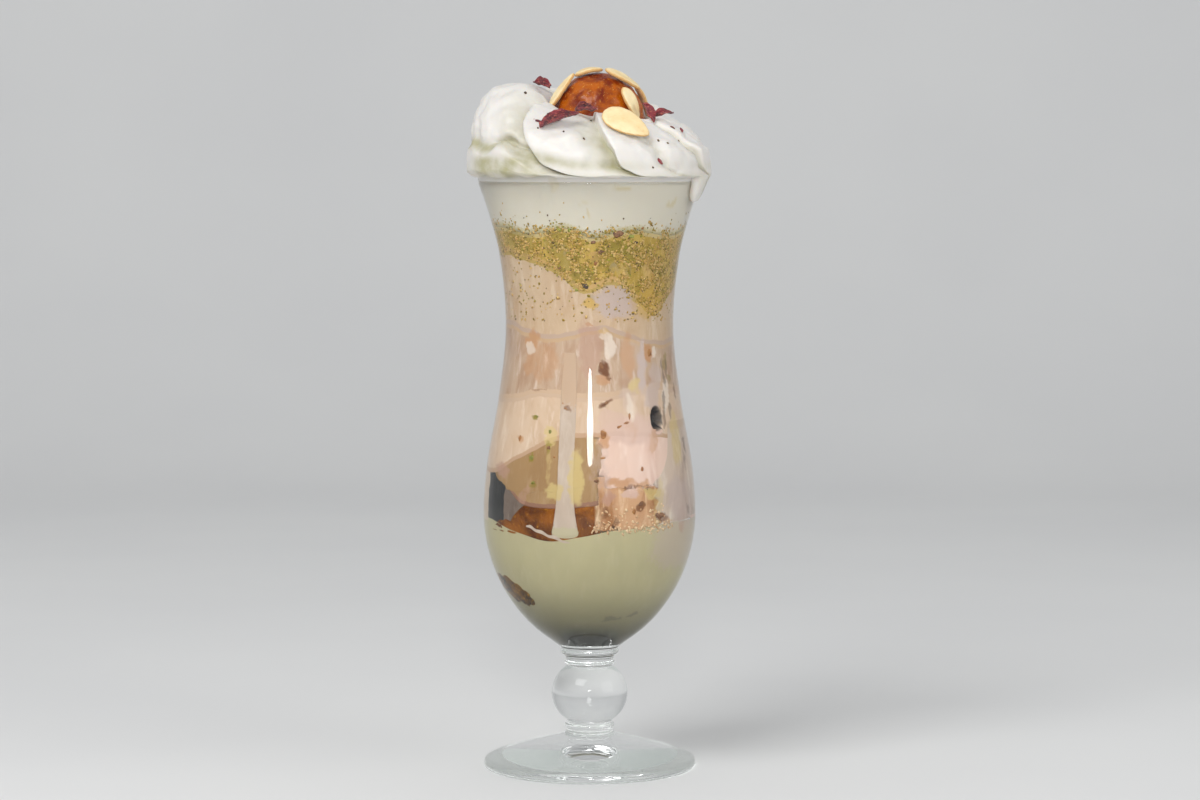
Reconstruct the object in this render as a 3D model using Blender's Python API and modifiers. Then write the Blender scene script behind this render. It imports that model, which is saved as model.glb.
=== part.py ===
"""A gulab jamun sundae: a tall footed dessert glass, filled in layers and topped with a piped ring of cream.

The origin is at the centre of the foot, on the surface that the glass stands on.
+Z is up and -Y is the front.
Lengths are in millimetres here and are stored in metres. Angles round the glass are in degrees from +X.
"""

import math

import bmesh
import bpy
from mathutils import Matrix, Vector, noise
from mathutils.bvhtree import BVHTree

MM = 0.001
GAP = 0.35
TURN = 360.0

# The glass
GLASS_HEIGHT = 206.0
WALL = 2.3
GLASS_STEPS = 40
# Outer radius of the bowl at each height: base, belly, waist and flared rim
BOWL_STATIONS = [
    (43.0, 10.9), (49.0, 18.9), (56.0, 25.5), (66.0, 31.7), (78.0, 35.9), (90.0, 37.2),
    (108.0, 35.8), (130.0, 31.9), (155.0, 29.3), (180.0, 31.4), (195.0, 35.3), (206.0, 39.1),
]
BOWL_FLOOR = 44.6
FLOOR_ARC_RADIUS = 9.0
COLLAR_RADIUS = 10.2
COLLAR_LOW = 39.2
NECK_RADIUS = 8.2
BALL_RADIUS = 13.4
BALL_HALF_HEIGHT = 9.8
BALL_CENTRE = 26.0
FOOT_RADIUS = 37.3
FOOT_EDGE = 2.6
FOOT_NECK_HEIGHT = 11.3
FOOT_SWELL = 0.75
REST_RING_INNER = 29.0
KICK_UP = 1.6

# Where the layers meet: the height at the axis, then the height at the wall by angle
CREAM_TOP = (88.5, [
    (-160, 88.6), (-132, 85.0), (-112, 83.0), (-96, 84.5), (-75, 86.8), (-30, 88.0), (60, 89.0), (140, 88.0),
])
SCOOP_TOP = (119.0, [
    (-165, 108.0), (-135, 114.0), (-112, 120.5), (-85, 122.5), (-40, 121.0), (20, 117.0), (100, 119.0),
])
LOBE_TOP = (133.0, [(-160, 130.0), (-120, 133.5), (-85, 132.0), (-40, 135.0), (20, 131.0), (100, 135.0)])
WAIST_TOP = (154.0, [(-160, 156.0), (-120, 152.0), (-80, 155.0), (-40, 149.5), (20, 152.5), (100, 156.0)])
CRUMB_FLOOR = (174.0, [
    (-170, 181.5), (-140, 180.5), (-112, 175.5), (-96, 169.5), (-85, 170.0), (-72, 172.0), (-55, 165.5),
    (-38, 160.5), (-22, 167.0), (20, 175.0), (70, 171.0), (120, 177.0),
])
CRUMB_TOP = (188.0, [
    (-160, 190.5), (-125, 188.0), (-105, 190.0), (-88, 186.5), (-65, 189.5), (-40, 187.5), (10, 190.0),
    (90, 187.5),
])
LAYER_COLUMNS = 40

# Pieces in the belly of the glass
LOWER_JAMUN_CENTRE = (-13.8, -10.6, 82.8)
LOWER_JAMUN_RADIUS = 14.2
CHUNK_CENTRE = (-25.6, -13.0, 65.0)
CHUNK_RADII = (6.6, 8.0, 3.9)
KULFI_CENTRE = (-7.5, -7.0, 109.0)
KULFI_RADII = (22.5, 27.0, 19.0)
PINK_CENTRE = (14.5, 0.0, 108.0)
PINK_RADII = (24.4, 36.0, 32.5)
SPONGE_CENTRE = (11.5, -18.0, 92.0)
SPONGE_RADII = (12.5, 13.5, 11.0)
SPONGE_TOP = 102.0
# How far from the middle of the sponge the pink scoop still rests on it, and over what distance it then sinks
PINK_REST = 15.5
PINK_SINK = 5.0
AIR_POCKET_ANGLE = -44.0
AIR_POCKET_HEIGHT = 125.5
AIR_POCKET_RADII = (5.0, 3.0, 4.4)
DRIP_ANGLE = -103.5
DRIP_TOP = 150.0
DRIP_WIDTH = 5.8
DRIP_FOOT_WIDTH = 11.0
DRIP_THICKNESS = 1.5

# The gulab jamun on top
TOP_JAMUN_CENTRE = (3.0, 0.0, 227.0)
TOP_JAMUN_RADIUS = 16.3

# The piped ring: its crest, outer edge and fullness by angle
CREST_HEIGHT = [
    (-180, 239.2), (-158, 237.6), (-140, 232.4), (-120, 229.8), (-90, 228.8), (-65, 228.0), (-30, 227.0),
    (0, 227.6), (45, 233.0), (90, 236.0), (135, 238.4),
]
CREST_RADIUS = [(-180, 26.5), (-140, 23.6), (-110, 20.8), (-80, 20.6), (-30, 21.8), (20, 22.6), (90, 25.5)]
OUTER_RADIUS = [(-180, 40.6), (-130, 41.0), (-90, 42.0), (-45, 42.2), (0, 41.4), (60, 41.2), (120, 41.0)]
FULLNESS = [
    (-180, 2.7), (-150, 2.4), (-120, 1.9), (-90, 1.6), (-60, 1.45), (-20, 1.3), (10, 1.3), (50, 1.6),
    (100, 2.2),
]
OUTER_HEIGHT = 214.0
SOCKET_EDGE_HEIGHT = 226.3
# Creases between the piped lobes: angle at the rim, angle beside the gulab jamun
CREASES = [
    (-91, -146), (-60, -96), (-37, -73), (-8, -45), (22, -15), (52, 15), (82, 46), (112, 74), (142, 102),
    (172, 132),
]
CREASE_STRENGTH = (1.0, 0.9, 0.35, 0.6, 0.8, 1.0, 1.0, 1.0, 1.0, 1.0)
CREASE_DEPTH = 5.4
LOBE_LEAN = 0.8
RISE_CURVE = 0.55
COLUMN_STEP = 6.2
HEM_HEIGHT = GLASS_HEIGHT + 0.7
HEM_RADIUS = 40.8
RUN_ANGLE = -14.0
RUN_SPREAD = 11.5
RUN_LENGTH = 8.6
RUN_THICKNESS = 1.5
# The lower coil of the ring, at the left: the height of the notch above it, by angle, and how deep it is
COIL_TOP = [
    (-180, 218.4), (-160, 218.6), (-148, 217.0), (-138, 219.6), (-128, 216.6), (-112, 213.6), (-96, 211.5),
    (-60, 211.0), (0, 211.5), (60, 213.0), (120, 216.0),
]
COIL_DEPTH = [(-180, 3.0), (-120, 2.8), (-96, 1.8), (-60, 0.6), (0, 0.7), (60, 1.0), (120, 2.0)]
COIL_REACH = 2.4
COIL_STAND = 0.5

# Sliced almonds: length, width, bend, seat, and the direction of the seat and of the length
ALMOND_THICKNESS = 1.4
ALMONDS_ON_JAMUN = {
    "almond_flake_1": (15.6, 5.4, 0.5, (-0.74, -0.38, 0.58), (0.62, 0.12, 0.78)),
    "almond_flake_2": (10.6, 5.6, 1.0, (-0.20, -0.20, 1.00), (1.00, 0.05, 0.15)),
    "almond_flake_3": (14.8, 6.2, 0.8, (0.50, -0.28, 0.82), (0.84, 0.12, -0.50)),
    "almond_flake_4": (13.0, 5.6, 0.9, (0.70, -0.72, 0.34), (0.26, 0.14, -0.96)),
    "almond_flake_5": (13.0, 6.0, 0.9, (0.94, 0.22, 0.42), (0.36, 0.12, -0.92)),
}
SUNK_ALMONDS = ("almond_flake_1", "almond_flake_4", "almond_flake_5")
# The almond slice in front: length, width, bend, place, and its spin, tilt and heading
FRONT_ALMOND = (18.5, 10.5, 0.8, (12.6, -34.0), (-34, 52, 14))

# Dried rose petals: length, width, curl, place, and their spin, tilt and heading
ROSE_PETALS = {
    "rose_petal_1": (14.5, 5.0, 2.0, (-10.0, -33.4), (30, 38, -16)),
    "rose_petal_2": (9.0, 4.0, 2.2, (-19.2, -28.4), (-60, 46, -30)),
    "rose_petal_3": (7.5, 4.4, 1.8, (-1.0, -24.6), (8, 30, 0)),
    "rose_petal_4": (7.0, 4.6, 2.0, (-16.6, 12.0), (-24, 40, -10)),
    "rose_petal_5": (8.0, 3.6, 1.8, (20.4, -15.0), (-76, 60, 30)),
    "rose_petal_6": (8.0, 3.4, 1.4, (25.6, -10.0), (14, 30, 20)),
}
PETAL_THICKNESS = 0.45
PETAL_GRID = (5, 3)


def through(stations):
    """A smooth curve through stations (x, y), which are sorted by x."""
    xs = [x for x, _ in stations]
    ys = [y for _, y in stations]
    last = len(xs) - 1
    slopes = []
    for i in range(last + 1):
        low, high = max(i - 1, 0), min(i + 1, last)
        slopes.append((ys[high] - ys[low]) / (xs[high] - xs[low]))

    def value(x):
        x = min(max(x, xs[0]), xs[-1])
        i = 0
        while i < last - 1 and x > xs[i + 1]:
            i += 1
        span = xs[i + 1] - xs[i]
        t = (x - xs[i]) / span
        rise = t * t * (3 - 2 * t)
        leave = t * (1 - t) * (1 - t) * span * slopes[i]
        arrive = t * t * (t - 1) * span * slopes[i + 1]
        return ys[i] * (1 - rise) + ys[i + 1] * rise + leave + arrive

    return value


def around(stations):
    """A smooth curve through stations (angle, y) that closes after a full turn."""
    before = [(angle - TURN, y) for angle, y in stations[-2:]]
    after = [(angle + TURN, y) for angle, y in stations[:2]]
    curve = through(before + stations + after)
    first = stations[0][0]
    return lambda angle: curve((angle - first) % TURN + first)


def blend(a, b, t):
    return a + (b - a) * t


def polar(radius, angle, height):
    return Vector((radius * math.cos(math.radians(angle)), radius * math.sin(math.radians(angle)), height))


outer_radius = through(BOWL_STATIONS)


def wall_section(height):
    """The bowl's outer point at a height, and the inner point straight across the wall from it."""
    step = 0.5
    slope = (outer_radius(height + step) - outer_radius(height - step)) / (2 * step)
    length = math.hypot(1.0, slope)
    radius = outer_radius(height)
    return (radius, height), (radius - WALL / length, height + WALL * slope / length)


def bowl_heights(count):
    """Heights from the rim down to the collar, closer together where the bowl turns in."""
    top = GLASS_HEIGHT - WALL / 2
    low = BOWL_STATIONS[0][0]
    return [low + (top - low) * (1 - i / (count - 1)) ** 1.35 for i in range(count)]


def inner_section():
    """The inner side of the bowl, from the rim down to where its rounded floor begins."""
    sections = [wall_section(height)[1] for height in bowl_heights(13)]
    return [(radius, height) for radius, height in sections if radius > FLOOR_ARC_RADIUS]


INNER_SECTION = inner_section()
FLOOR_EDGE = INNER_SECTION[-1]


def inner_radius(height):
    """Radius of the glass's inner side at a height, along the straight pieces of its section."""
    points = INNER_SECTION + [(FLOOR_EDGE[0] * 0.55, BOWL_FLOOR + 0.35), (0.0, BOWL_FLOOR)]
    if height >= points[0][1]:
        return points[0][0]
    for (r_high, z_high), (r_low, z_low) in zip(points, points[1:]):
        if height >= z_low:
            return blend(r_low, r_high, (height - z_low) / (z_high - z_low))
    return 0.0


def fill_radius(height):
    """Radius of what fills the glass at a height, clear of the wall."""
    return max(inner_radius(height - GAP) - GAP, 0.0)


def surface_between(levels):
    """The height of the surface where two layers meet, at a place (x, y)."""
    centre_height, stations = levels
    at_wall = around(stations)

    def height(x, y):
        radius = math.hypot(x, y)
        share = min(radius / fill_radius(centre_height), 1.0) ** 2
        return blend(centre_height, at_wall(math.degrees(math.atan2(y, x))), share)

    return height


def lumps(point, size, height, seed=0.0):
    """Soft bumps of a given size and height, the same on every run."""
    return height * noise.noise(Vector(point) / size + Vector((seed, seed * 1.7, -seed)))


def food(name, color, roughness, metallic=0.0):
    """A plain finish for one sub-part."""
    material = bpy.data.materials.new(name + "_finish")
    material.use_nodes = True
    shader = material.node_tree.nodes["Principled BSDF"]
    shader.inputs["Base Color"].default_value = (*color, 1.0)
    shader.inputs["Roughness"].default_value = roughness
    shader.inputs["Metallic"].default_value = metallic
    material.diffuse_color = (*color, 1.0)
    return material


def clear_glass():
    material = food("glass", (0.93, 0.96, 0.95), 0.03)
    material.node_tree.nodes["Principled BSDF"].inputs["Transmission Weight"].default_value = 1.0
    return material


def add_object(name, mesh, material, collection):
    """Turns a bmesh in millimetres into a named object in metres."""
    bmesh.ops.scale(mesh, vec=(MM, MM, MM), verts=mesh.verts)
    data = bpy.data.meshes.new(name)
    mesh.to_mesh(data)
    mesh.free()
    data.shade_smooth()
    if material:
        data.materials.append(material)
    made = bpy.data.objects.new(name, data)
    collection.objects.link(made)
    return made


def wrapped_sphere(name, columns, rings, place, material, collection):
    """A closed skin: a UV sphere whose vertices move to place(column, ring). Ring 0 is the top pole."""
    mesh = bmesh.new()
    bmesh.ops.create_uvsphere(mesh, u_segments=columns, v_segments=rings, radius=1.0)
    step = 2 * math.pi / columns
    for vertex in mesh.verts:
        ring = round(math.acos(min(max(vertex.co.z, -1.0), 1.0)) / math.pi * rings)
        column = round((math.atan2(vertex.co.y, vertex.co.x) - math.pi / 2) / step) % columns
        vertex.co = place(column, ring)
    return add_object(name, mesh, material, collection)


def lump(name, centre, radii, columns, rings, shape, material, collection):
    """A rounded piece: an ellipsoid whose points go through shape(point, direction)."""

    def place(column, ring):
        polar_angle = math.pi * ring / rings
        turn = 2 * math.pi * column / columns + math.pi / 2
        across = math.sin(polar_angle)
        direction = Vector((across * math.cos(turn), across * math.sin(turn), math.cos(polar_angle)))
        point = Vector(centre) + Vector([d * r for d, r in zip(direction, radii)])
        return shape(point, direction)

    return wrapped_sphere(name, columns, rings, place, material, collection)


def cut(target, cutter):
    """Cuts one solid from another, and applies the cut."""
    modifier = target.modifiers.new("cut", "BOOLEAN")
    modifier.operation = "DIFFERENCE"
    modifier.object = cutter
    modifier.solver = "EXACT"
    bpy.context.view_layer.update()
    graph = bpy.context.evaluated_depsgraph_get()
    data = bpy.data.meshes.new_from_object(target.evaluated_get(graph))
    target.modifiers.clear()
    target.data = data
    target.data.shade_smooth()


def inside_wall(point):
    """Moves a point in until it is clear of the glass."""
    radius = math.hypot(point.x, point.y)
    most = fill_radius(point.z)
    if radius > most:
        point.x *= most / radius
        point.y *= most / radius
    return point


def foot_top(radius):
    """Height of the foot's domed upper side."""
    share = (radius - NECK_RADIUS) / (FOOT_RADIUS - NECK_RADIUS)
    return FOOT_EDGE + (FOOT_NECK_HEIGHT - FOOT_EDGE) * (1 - share) ** FOOT_SWELL


def glass_section():
    """The closed outline of the glass: inner side up, over the rim, and down the outer side to the foot."""
    heights = bowl_heights(13)
    outer = [wall_section(height)[0] for height in heights]
    inner = [(0.0, BOWL_FLOOR), (FLOOR_EDGE[0] * 0.55, BOWL_FLOOR + 0.35)] + INNER_SECTION[::-1]
    (r_out, z_out), (r_in, z_in) = outer[0], INNER_SECTION[0]
    middle_r, middle_z = (r_out + r_in) / 2, (z_out + z_in) / 2
    rim = []
    for turn in (135, 90, 45):
        rim.append((
            middle_r + WALL / 2 * math.cos(math.radians(turn)),
            middle_z + (GLASS_HEIGHT - middle_z) * math.sin(math.radians(turn)),
        ))
    collar = [(COLLAR_RADIUS, BOWL_STATIONS[0][0] - 1.4), (COLLAR_RADIUS, COLLAR_LOW + 0.8)]
    collar.append((NECK_RADIUS + 0.3, COLLAR_LOW - 0.8))
    ball = []
    start = math.degrees(math.acos(NECK_RADIUS / BALL_RADIUS)) + 3
    stretch = BALL_HALF_HEIGHT / math.sin(math.radians(start))
    for i in range(7):
        turn = math.radians(blend(start, -start, i / 6))
        ball.append((BALL_RADIUS * math.cos(turn), BALL_CENTRE + stretch * math.sin(turn)))
    foot = [(NECK_RADIUS, FOOT_NECK_HEIGHT + 1.4)]
    for share in (0.0, 0.2, 0.55, 0.85, 0.985):
        radius = blend(NECK_RADIUS, FOOT_RADIUS, share) + (0.6 if share == 0.0 else 0.0)
        foot.append((radius, foot_top(radius)))
    edge = [(FOOT_RADIUS, FOOT_EDGE * 0.5), (FOOT_RADIUS - 0.9, 0.0)]
    underside = [(REST_RING_INNER, 0.0), (REST_RING_INNER * 0.55, KICK_UP * 0.75), (0.0, KICK_UP)]
    return inner + rim + outer + collar + ball + foot + edge + underside


def make_glass(collection):
    """The glass: one turned solid with an open bowl, a ball stem and a foot."""
    points = glass_section()
    mesh = bmesh.new()
    vertices = [mesh.verts.new((radius, 0.0, height)) for radius, height in points]
    for a, b in zip(vertices, vertices[1:]):
        mesh.edges.new((a, b))
    glass = add_object("glass", mesh, clear_glass(), collection)
    screw = glass.modifiers.new("turn", "SCREW")
    screw.axis = "Z"
    screw.angle = 2 * math.pi
    screw.steps = GLASS_STEPS
    screw.render_steps = GLASS_STEPS
    screw.use_merge_vertices = True
    screw.merge_threshold = 0.00005
    screw.use_normal_calculate = False
    return glass


def layer(name, low, high, material, collection, crumbs=0.0, seed=0.0):
    """A layer that runs through the glass between two surfaces, low(x, y) and high(x, y)."""
    flat_rings, side_rings = 2, 3
    rings = 2 * flat_rings + side_rings

    def edge_height(surface, angle):
        height = surface(*polar(1.0, angle, 0.0).xy)
        for _ in range(3):
            height = surface(*polar(fill_radius(height), angle, 0.0).xy)
        return height

    def place(column, ring):
        angle = TURN * column / LAYER_COLUMNS
        top_edge = edge_height(high, angle) - GAP
        low_edge = edge_height(low, angle) + GAP
        if flat_rings <= ring <= rings - flat_rings:
            height = blend(top_edge, low_edge, (ring - flat_rings) / side_rings)
            point = polar(fill_radius(height), angle, height)
            dent = abs(lumps(point, 5.0, crumbs, seed))
            return polar(fill_radius(height) - dent, angle, height)
        on_top = ring < flat_rings
        share = (ring if on_top else rings - ring) / flat_rings
        surface, offset, edge = (high, -GAP, top_edge) if on_top else (low, GAP, low_edge)
        point = polar(fill_radius(edge) * share, angle, 0.0)
        point.z = surface(point.x, point.y) + offset
        return point

    return wrapped_sphere(name, LAYER_COLUMNS, rings, place, material, collection)


def make_base_cream(surfaces, collection):
    """Melted cream that fills the bottom of the bowl up to its level."""
    top_rings, side_heights = 2, (78.0, 68.0, 58.5, 51.8, 47.6)
    rings = top_rings + len(side_heights) + 1

    def place(column, ring):
        angle = TURN * column / LAYER_COLUMNS
        if ring <= top_rings:
            point = polar(fill_radius(CREAM_TOP[0]) * ring / top_rings, angle, 0.0)
            point.z = surfaces["cream"](point.x, point.y)
            return inside_wall(point)
        if ring == rings:
            return Vector((0.0, 0.0, BOWL_FLOOR + 2 * GAP))
        height = side_heights[ring - top_rings - 1]
        return polar(fill_radius(height), angle, height)

    material = food("base_cream", (0.72, 0.69, 0.55), 0.35)
    return wrapped_sphere("base_cream", LAYER_COLUMNS, rings, place, material, collection)


def make_jamun(name, centre, radius, columns, material, collection):
    """A fried milk dumpling: a slightly uneven ball."""

    def shape(point, direction):
        return point + direction * lumps(point, 9.0, 0.35, 3.0)

    return lump(name, centre, (radius,) * 3, columns, columns // 2, shape, material, collection)


def make_belly_pieces(surfaces, collection, cutters):
    """What lies on the base cream: a gulab jamun, a loose chunk, sponge crumbs and two scoops."""
    brown = food("gulab_jamun", (0.47, 0.17, 0.03), 0.25)
    base = make_base_cream(surfaces, collection)
    jamun = make_jamun("gulab_jamun_lower", LOWER_JAMUN_CENTRE, LOWER_JAMUN_RADIUS, 20, brown, collection)
    wide = LOWER_JAMUN_RADIUS + 2 * GAP
    jamun_cutter = make_jamun("lower_jamun_cutter", LOWER_JAMUN_CENTRE, wide, 20, None, cutters)
    chunk_shape = lambda point, direction: inside_wall(point + direction * lumps(point, 4.0, 0.5, 5.0))
    lump("gulab_jamun_chunk", CHUNK_CENTRE, CHUNK_RADII, 12, 6, chunk_shape, brown, collection)
    wide = [radius + 2 * GAP for radius in CHUNK_RADII]
    plain = lambda point, direction: point + direction * lumps(point, 4.0, 0.5, 5.0)
    chunk_cutter = lump("chunk_cutter", CHUNK_CENTRE, wide, 12, 6, plain, None, cutters)
    cut(base, jamun_cutter)
    cut(base, chunk_cutter)

    def sponge(point, direction):
        point = point + direction * lumps(point, 4.0, 2.2, 8.0)
        point.z = min(max(point.z, surfaces["cream"](point.x, point.y) + 2 * GAP), SPONGE_TOP - GAP)
        return inside_wall(point)

    def kulfi(point, direction):
        point = point + direction * lumps(point, 9.0, 1.4, 2.0)
        point.z = max(point.z, surfaces["cream"](point.x, point.y) + 2 * GAP)
        point.z = min(point.z, surfaces["scoop"](point.x, point.y) - 2 * GAP)
        return inside_wall(point)

    def pink(point, direction):
        point = point + direction * lumps(point, 9.0, 1.4, 6.0)
        away = math.hypot(point.x - SPONGE_CENTRE[0], point.y - SPONGE_CENTRE[1])
        share = min(max((away - PINK_REST) / PINK_SINK, 0.0), 1.0)
        low = surfaces["cream"](point.x, point.y) + GAP
        point.z = max(point.z, blend(SPONGE_TOP, low, share * share * (3 - 2 * share)) + GAP)
        point.z = min(point.z, surfaces["scoop"](point.x, point.y) - 2 * GAP)
        return inside_wall(point)

    scoop = lump("kulfi_scoop", KULFI_CENTRE, KULFI_RADII, 20, 10, kulfi,
                 food("kulfi_scoop", (0.66, 0.50, 0.36), 0.5), collection)
    wide = [radius + 2.5 * GAP for radius in KULFI_RADII]
    scoop_shape = lambda point, direction: point + direction * lumps(point, 9.0, 1.4, 2.0)
    scoop_cutter = lump("scoop_cutter", KULFI_CENTRE, wide, 20, 10, scoop_shape, None, cutters)
    cut(scoop, jamun_cutter)
    crumbs = lump("sponge_crumbs", SPONGE_CENTRE, SPONGE_RADII, 16, 8, sponge,
                  food("sponge_crumbs", (0.62, 0.40, 0.20), 0.8), collection)
    cut(crumbs, scoop_cutter)
    other = lump("pink_scoop", PINK_CENTRE, PINK_RADII, 20, 10, pink,
                 food("pink_scoop", (0.76, 0.58, 0.52), 0.5), collection)
    cut(other, scoop_cutter)
    return scoop


def drip_strip(name, width_add, thickness, lift, material, collection):
    """A run of cream down the inner wall: a strip bent on to the wall, with a spread foot."""
    across, along = 4, 11
    low = surface_between(CREAM_TOP)(*polar(fill_radius(86.0), DRIP_ANGLE, 0.0).xy) + 1.4 - lift
    mesh = bmesh.new()
    bmesh.ops.create_grid(mesh, x_segments=across, y_segments=along, size=1.0)
    for vertex in mesh.verts:
        share = (vertex.co.y + 1) / 2
        height = blend(low, DRIP_TOP + lift, share)
        foot = max(0.0, 1 - share / 0.3) ** 2
        narrowing = 1 - 0.35 * max(0.0, share - 0.75) / 0.25
        width = blend(DRIP_WIDTH, DRIP_FOOT_WIDTH, foot) * narrowing + width_add
        radius = fill_radius(height) + lift
        angle = DRIP_ANGLE + math.degrees(vertex.co.x * width / 2 / radius)
        vertex.co = polar(radius, angle, height)
    strip = add_object(name, mesh, material, collection)
    solidify = strip.modifiers.new("thickness", "SOLIDIFY")
    solidify.thickness = thickness * MM
    solidify.offset = -1.0
    return strip


def make_drip(grooved, collection, cutters):
    """The drip, and its groove in the scoop and layers that it runs past."""
    material = food("cream_drip", (0.78, 0.74, 0.70), 0.35)
    drip = drip_strip("cream_drip", 0.0, DRIP_THICKNESS, 0.0, material, collection)
    cutter = drip_strip("drip_cutter", 4 * GAP, DRIP_THICKNESS + 4 * GAP, 2 * GAP, None, cutters)
    for solid in grooved:
        cut(solid, cutter)
    return drip


def make_layers(surfaces, collection, cutters):
    """The ice cream and nut layers that fill the waist, from the bottom up.

    Returns the two that the drip runs past.
    """
    beige = food("beige_ice_cream", (0.70, 0.54, 0.42), 0.5)
    lower = layer("ice_cream_lower", surfaces["scoop"], surfaces["lobe"], beige, collection)
    pocket_at = polar(fill_radius(AIR_POCKET_HEIGHT), AIR_POCKET_ANGLE, AIR_POCKET_HEIGHT)
    pocket_shape = lambda point, direction: point
    pocket = lump("air_pocket_cutter", pocket_at, AIR_POCKET_RADII, 14, 8, pocket_shape, None, cutters)
    cut(lower, pocket)
    middle = layer("ice_cream_middle", surfaces["lobe"], surfaces["waist"],
                   food("streaked_ice_cream", (0.70, 0.52, 0.44), 0.5), collection)
    layer("ice_cream_upper", surfaces["waist"], surfaces["crumb_floor"], beige, collection)
    layer("pistachio_layer", surfaces["crumb_floor"], surfaces["crumb_top"],
          food("pistachio_layer", (0.50, 0.42, 0.12), 0.8), collection, crumbs=1.6, seed=4.0)
    return lower, middle


def cream_columns():
    """For each column of the piped ring: its crease number and its share of the way to the next crease."""
    columns = []
    for i, (start, _) in enumerate(CREASES):
        end = CREASES[(i + 1) % len(CREASES)][0] + (TURN if i + 1 == len(CREASES) else 0.0)
        count = max(4, round((end - start) / COLUMN_STEP))
        columns += [(i, k / count) for k in range(count)]
    return columns


def column_angle(crease, share, rise):
    """Angle of a column of the piped ring. Rise is 0 at the rim and 1 beside the gulab jamun."""
    following = (crease + 1) % len(CREASES)
    extra = TURN if following == 0 else 0.0
    start = blend(*CREASES[crease], rise)
    end = blend(*CREASES[following], rise) + extra
    return blend(start, end, share)


def lobe_swell(share):
    """How far a lobe stands out: nothing at its creases and most at its middle."""
    leaning = share ** LOBE_LEAN
    return 1 - abs(2 * leaning - 1) ** 2.4


def ring_section(angle, swell, strength):
    """The piped ring's section at an angle, from beside the gulab jamun over the crest to the hem.

    Each point is its radius, its height and its rise, which is 1 beside the gulab jamun and 0 at the hem.
    """
    crest_height, crest_radius = around(CREST_HEIGHT)(angle), around(CREST_RADIUS)(angle)
    edge_radius, power = around(OUTER_RADIUS)(angle), around(FULLNESS)(angle)
    socket_radius = TOP_JAMUN_RADIUS + 2 * GAP
    section = []
    inner_steps, outer_steps = 3, 7
    for i in range(1, inner_steps + 1):
        turn = math.pi / 2 * i / inner_steps
        radius = crest_radius - (crest_radius - socket_radius) * math.cos(turn)
        height = SOCKET_EDGE_HEIGHT + (crest_height - SOCKET_EDGE_HEIGHT) * math.sin(turn)
        section.append((radius, height, 0.0, 1.0))
    for i in range(1, outer_steps):
        turn = math.pi / 2 * i / outer_steps
        across = math.sin(turn) ** (2 / power)
        up = math.cos(turn) ** (2 / power)
        radius = crest_radius + (edge_radius - crest_radius) * across
        height = OUTER_HEIGHT + (crest_height - OUTER_HEIGHT) * up
        section.append((radius, height, math.sin(turn), math.cos(turn)))
    notch = around(COIL_TOP)(angle)
    coil_radius = edge_radius + COIL_STAND + around(COIL_DEPTH)(angle) / 2
    for height in (notch, blend(notch, HEM_HEIGHT, 0.4), blend(notch, HEM_HEIGHT, 0.8)):
        section.append((coil_radius, height, 1.0, 0.0))
    depth = CREASE_DEPTH * (swell - 0.72) * strength
    last = len(section) - 1
    shaped = []
    for i, (radius, height, out, up) in enumerate(section):
        rise = (1 - i / last) ** RISE_CURVE
        fade = min(1.0, 2.6 * (1 - rise) + 0.12) * min(1.0, 0.55 + 1.2 * rise)
        radius -= out * coil_notch(angle, height)
        shaped.append((radius + out * depth * fade, height + up * depth * fade, rise))
    return shaped


def coil_notch(angle, height):
    """How far the outer side draws in at a height, where the lower coil meets the lobes."""
    away = (height - around(COIL_TOP)(angle)) / COIL_REACH
    return around(COIL_DEPTH)(angle) * math.exp(-away * away)


def run_depth(angle):
    """How far the cream runs down outside the glass at an angle."""
    away = abs((angle - RUN_ANGLE + TURN / 2) % TURN - TURN / 2) / RUN_SPREAD
    return RUN_LENGTH * math.sqrt(max(0.0, 1 - away ** 2.5))


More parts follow.
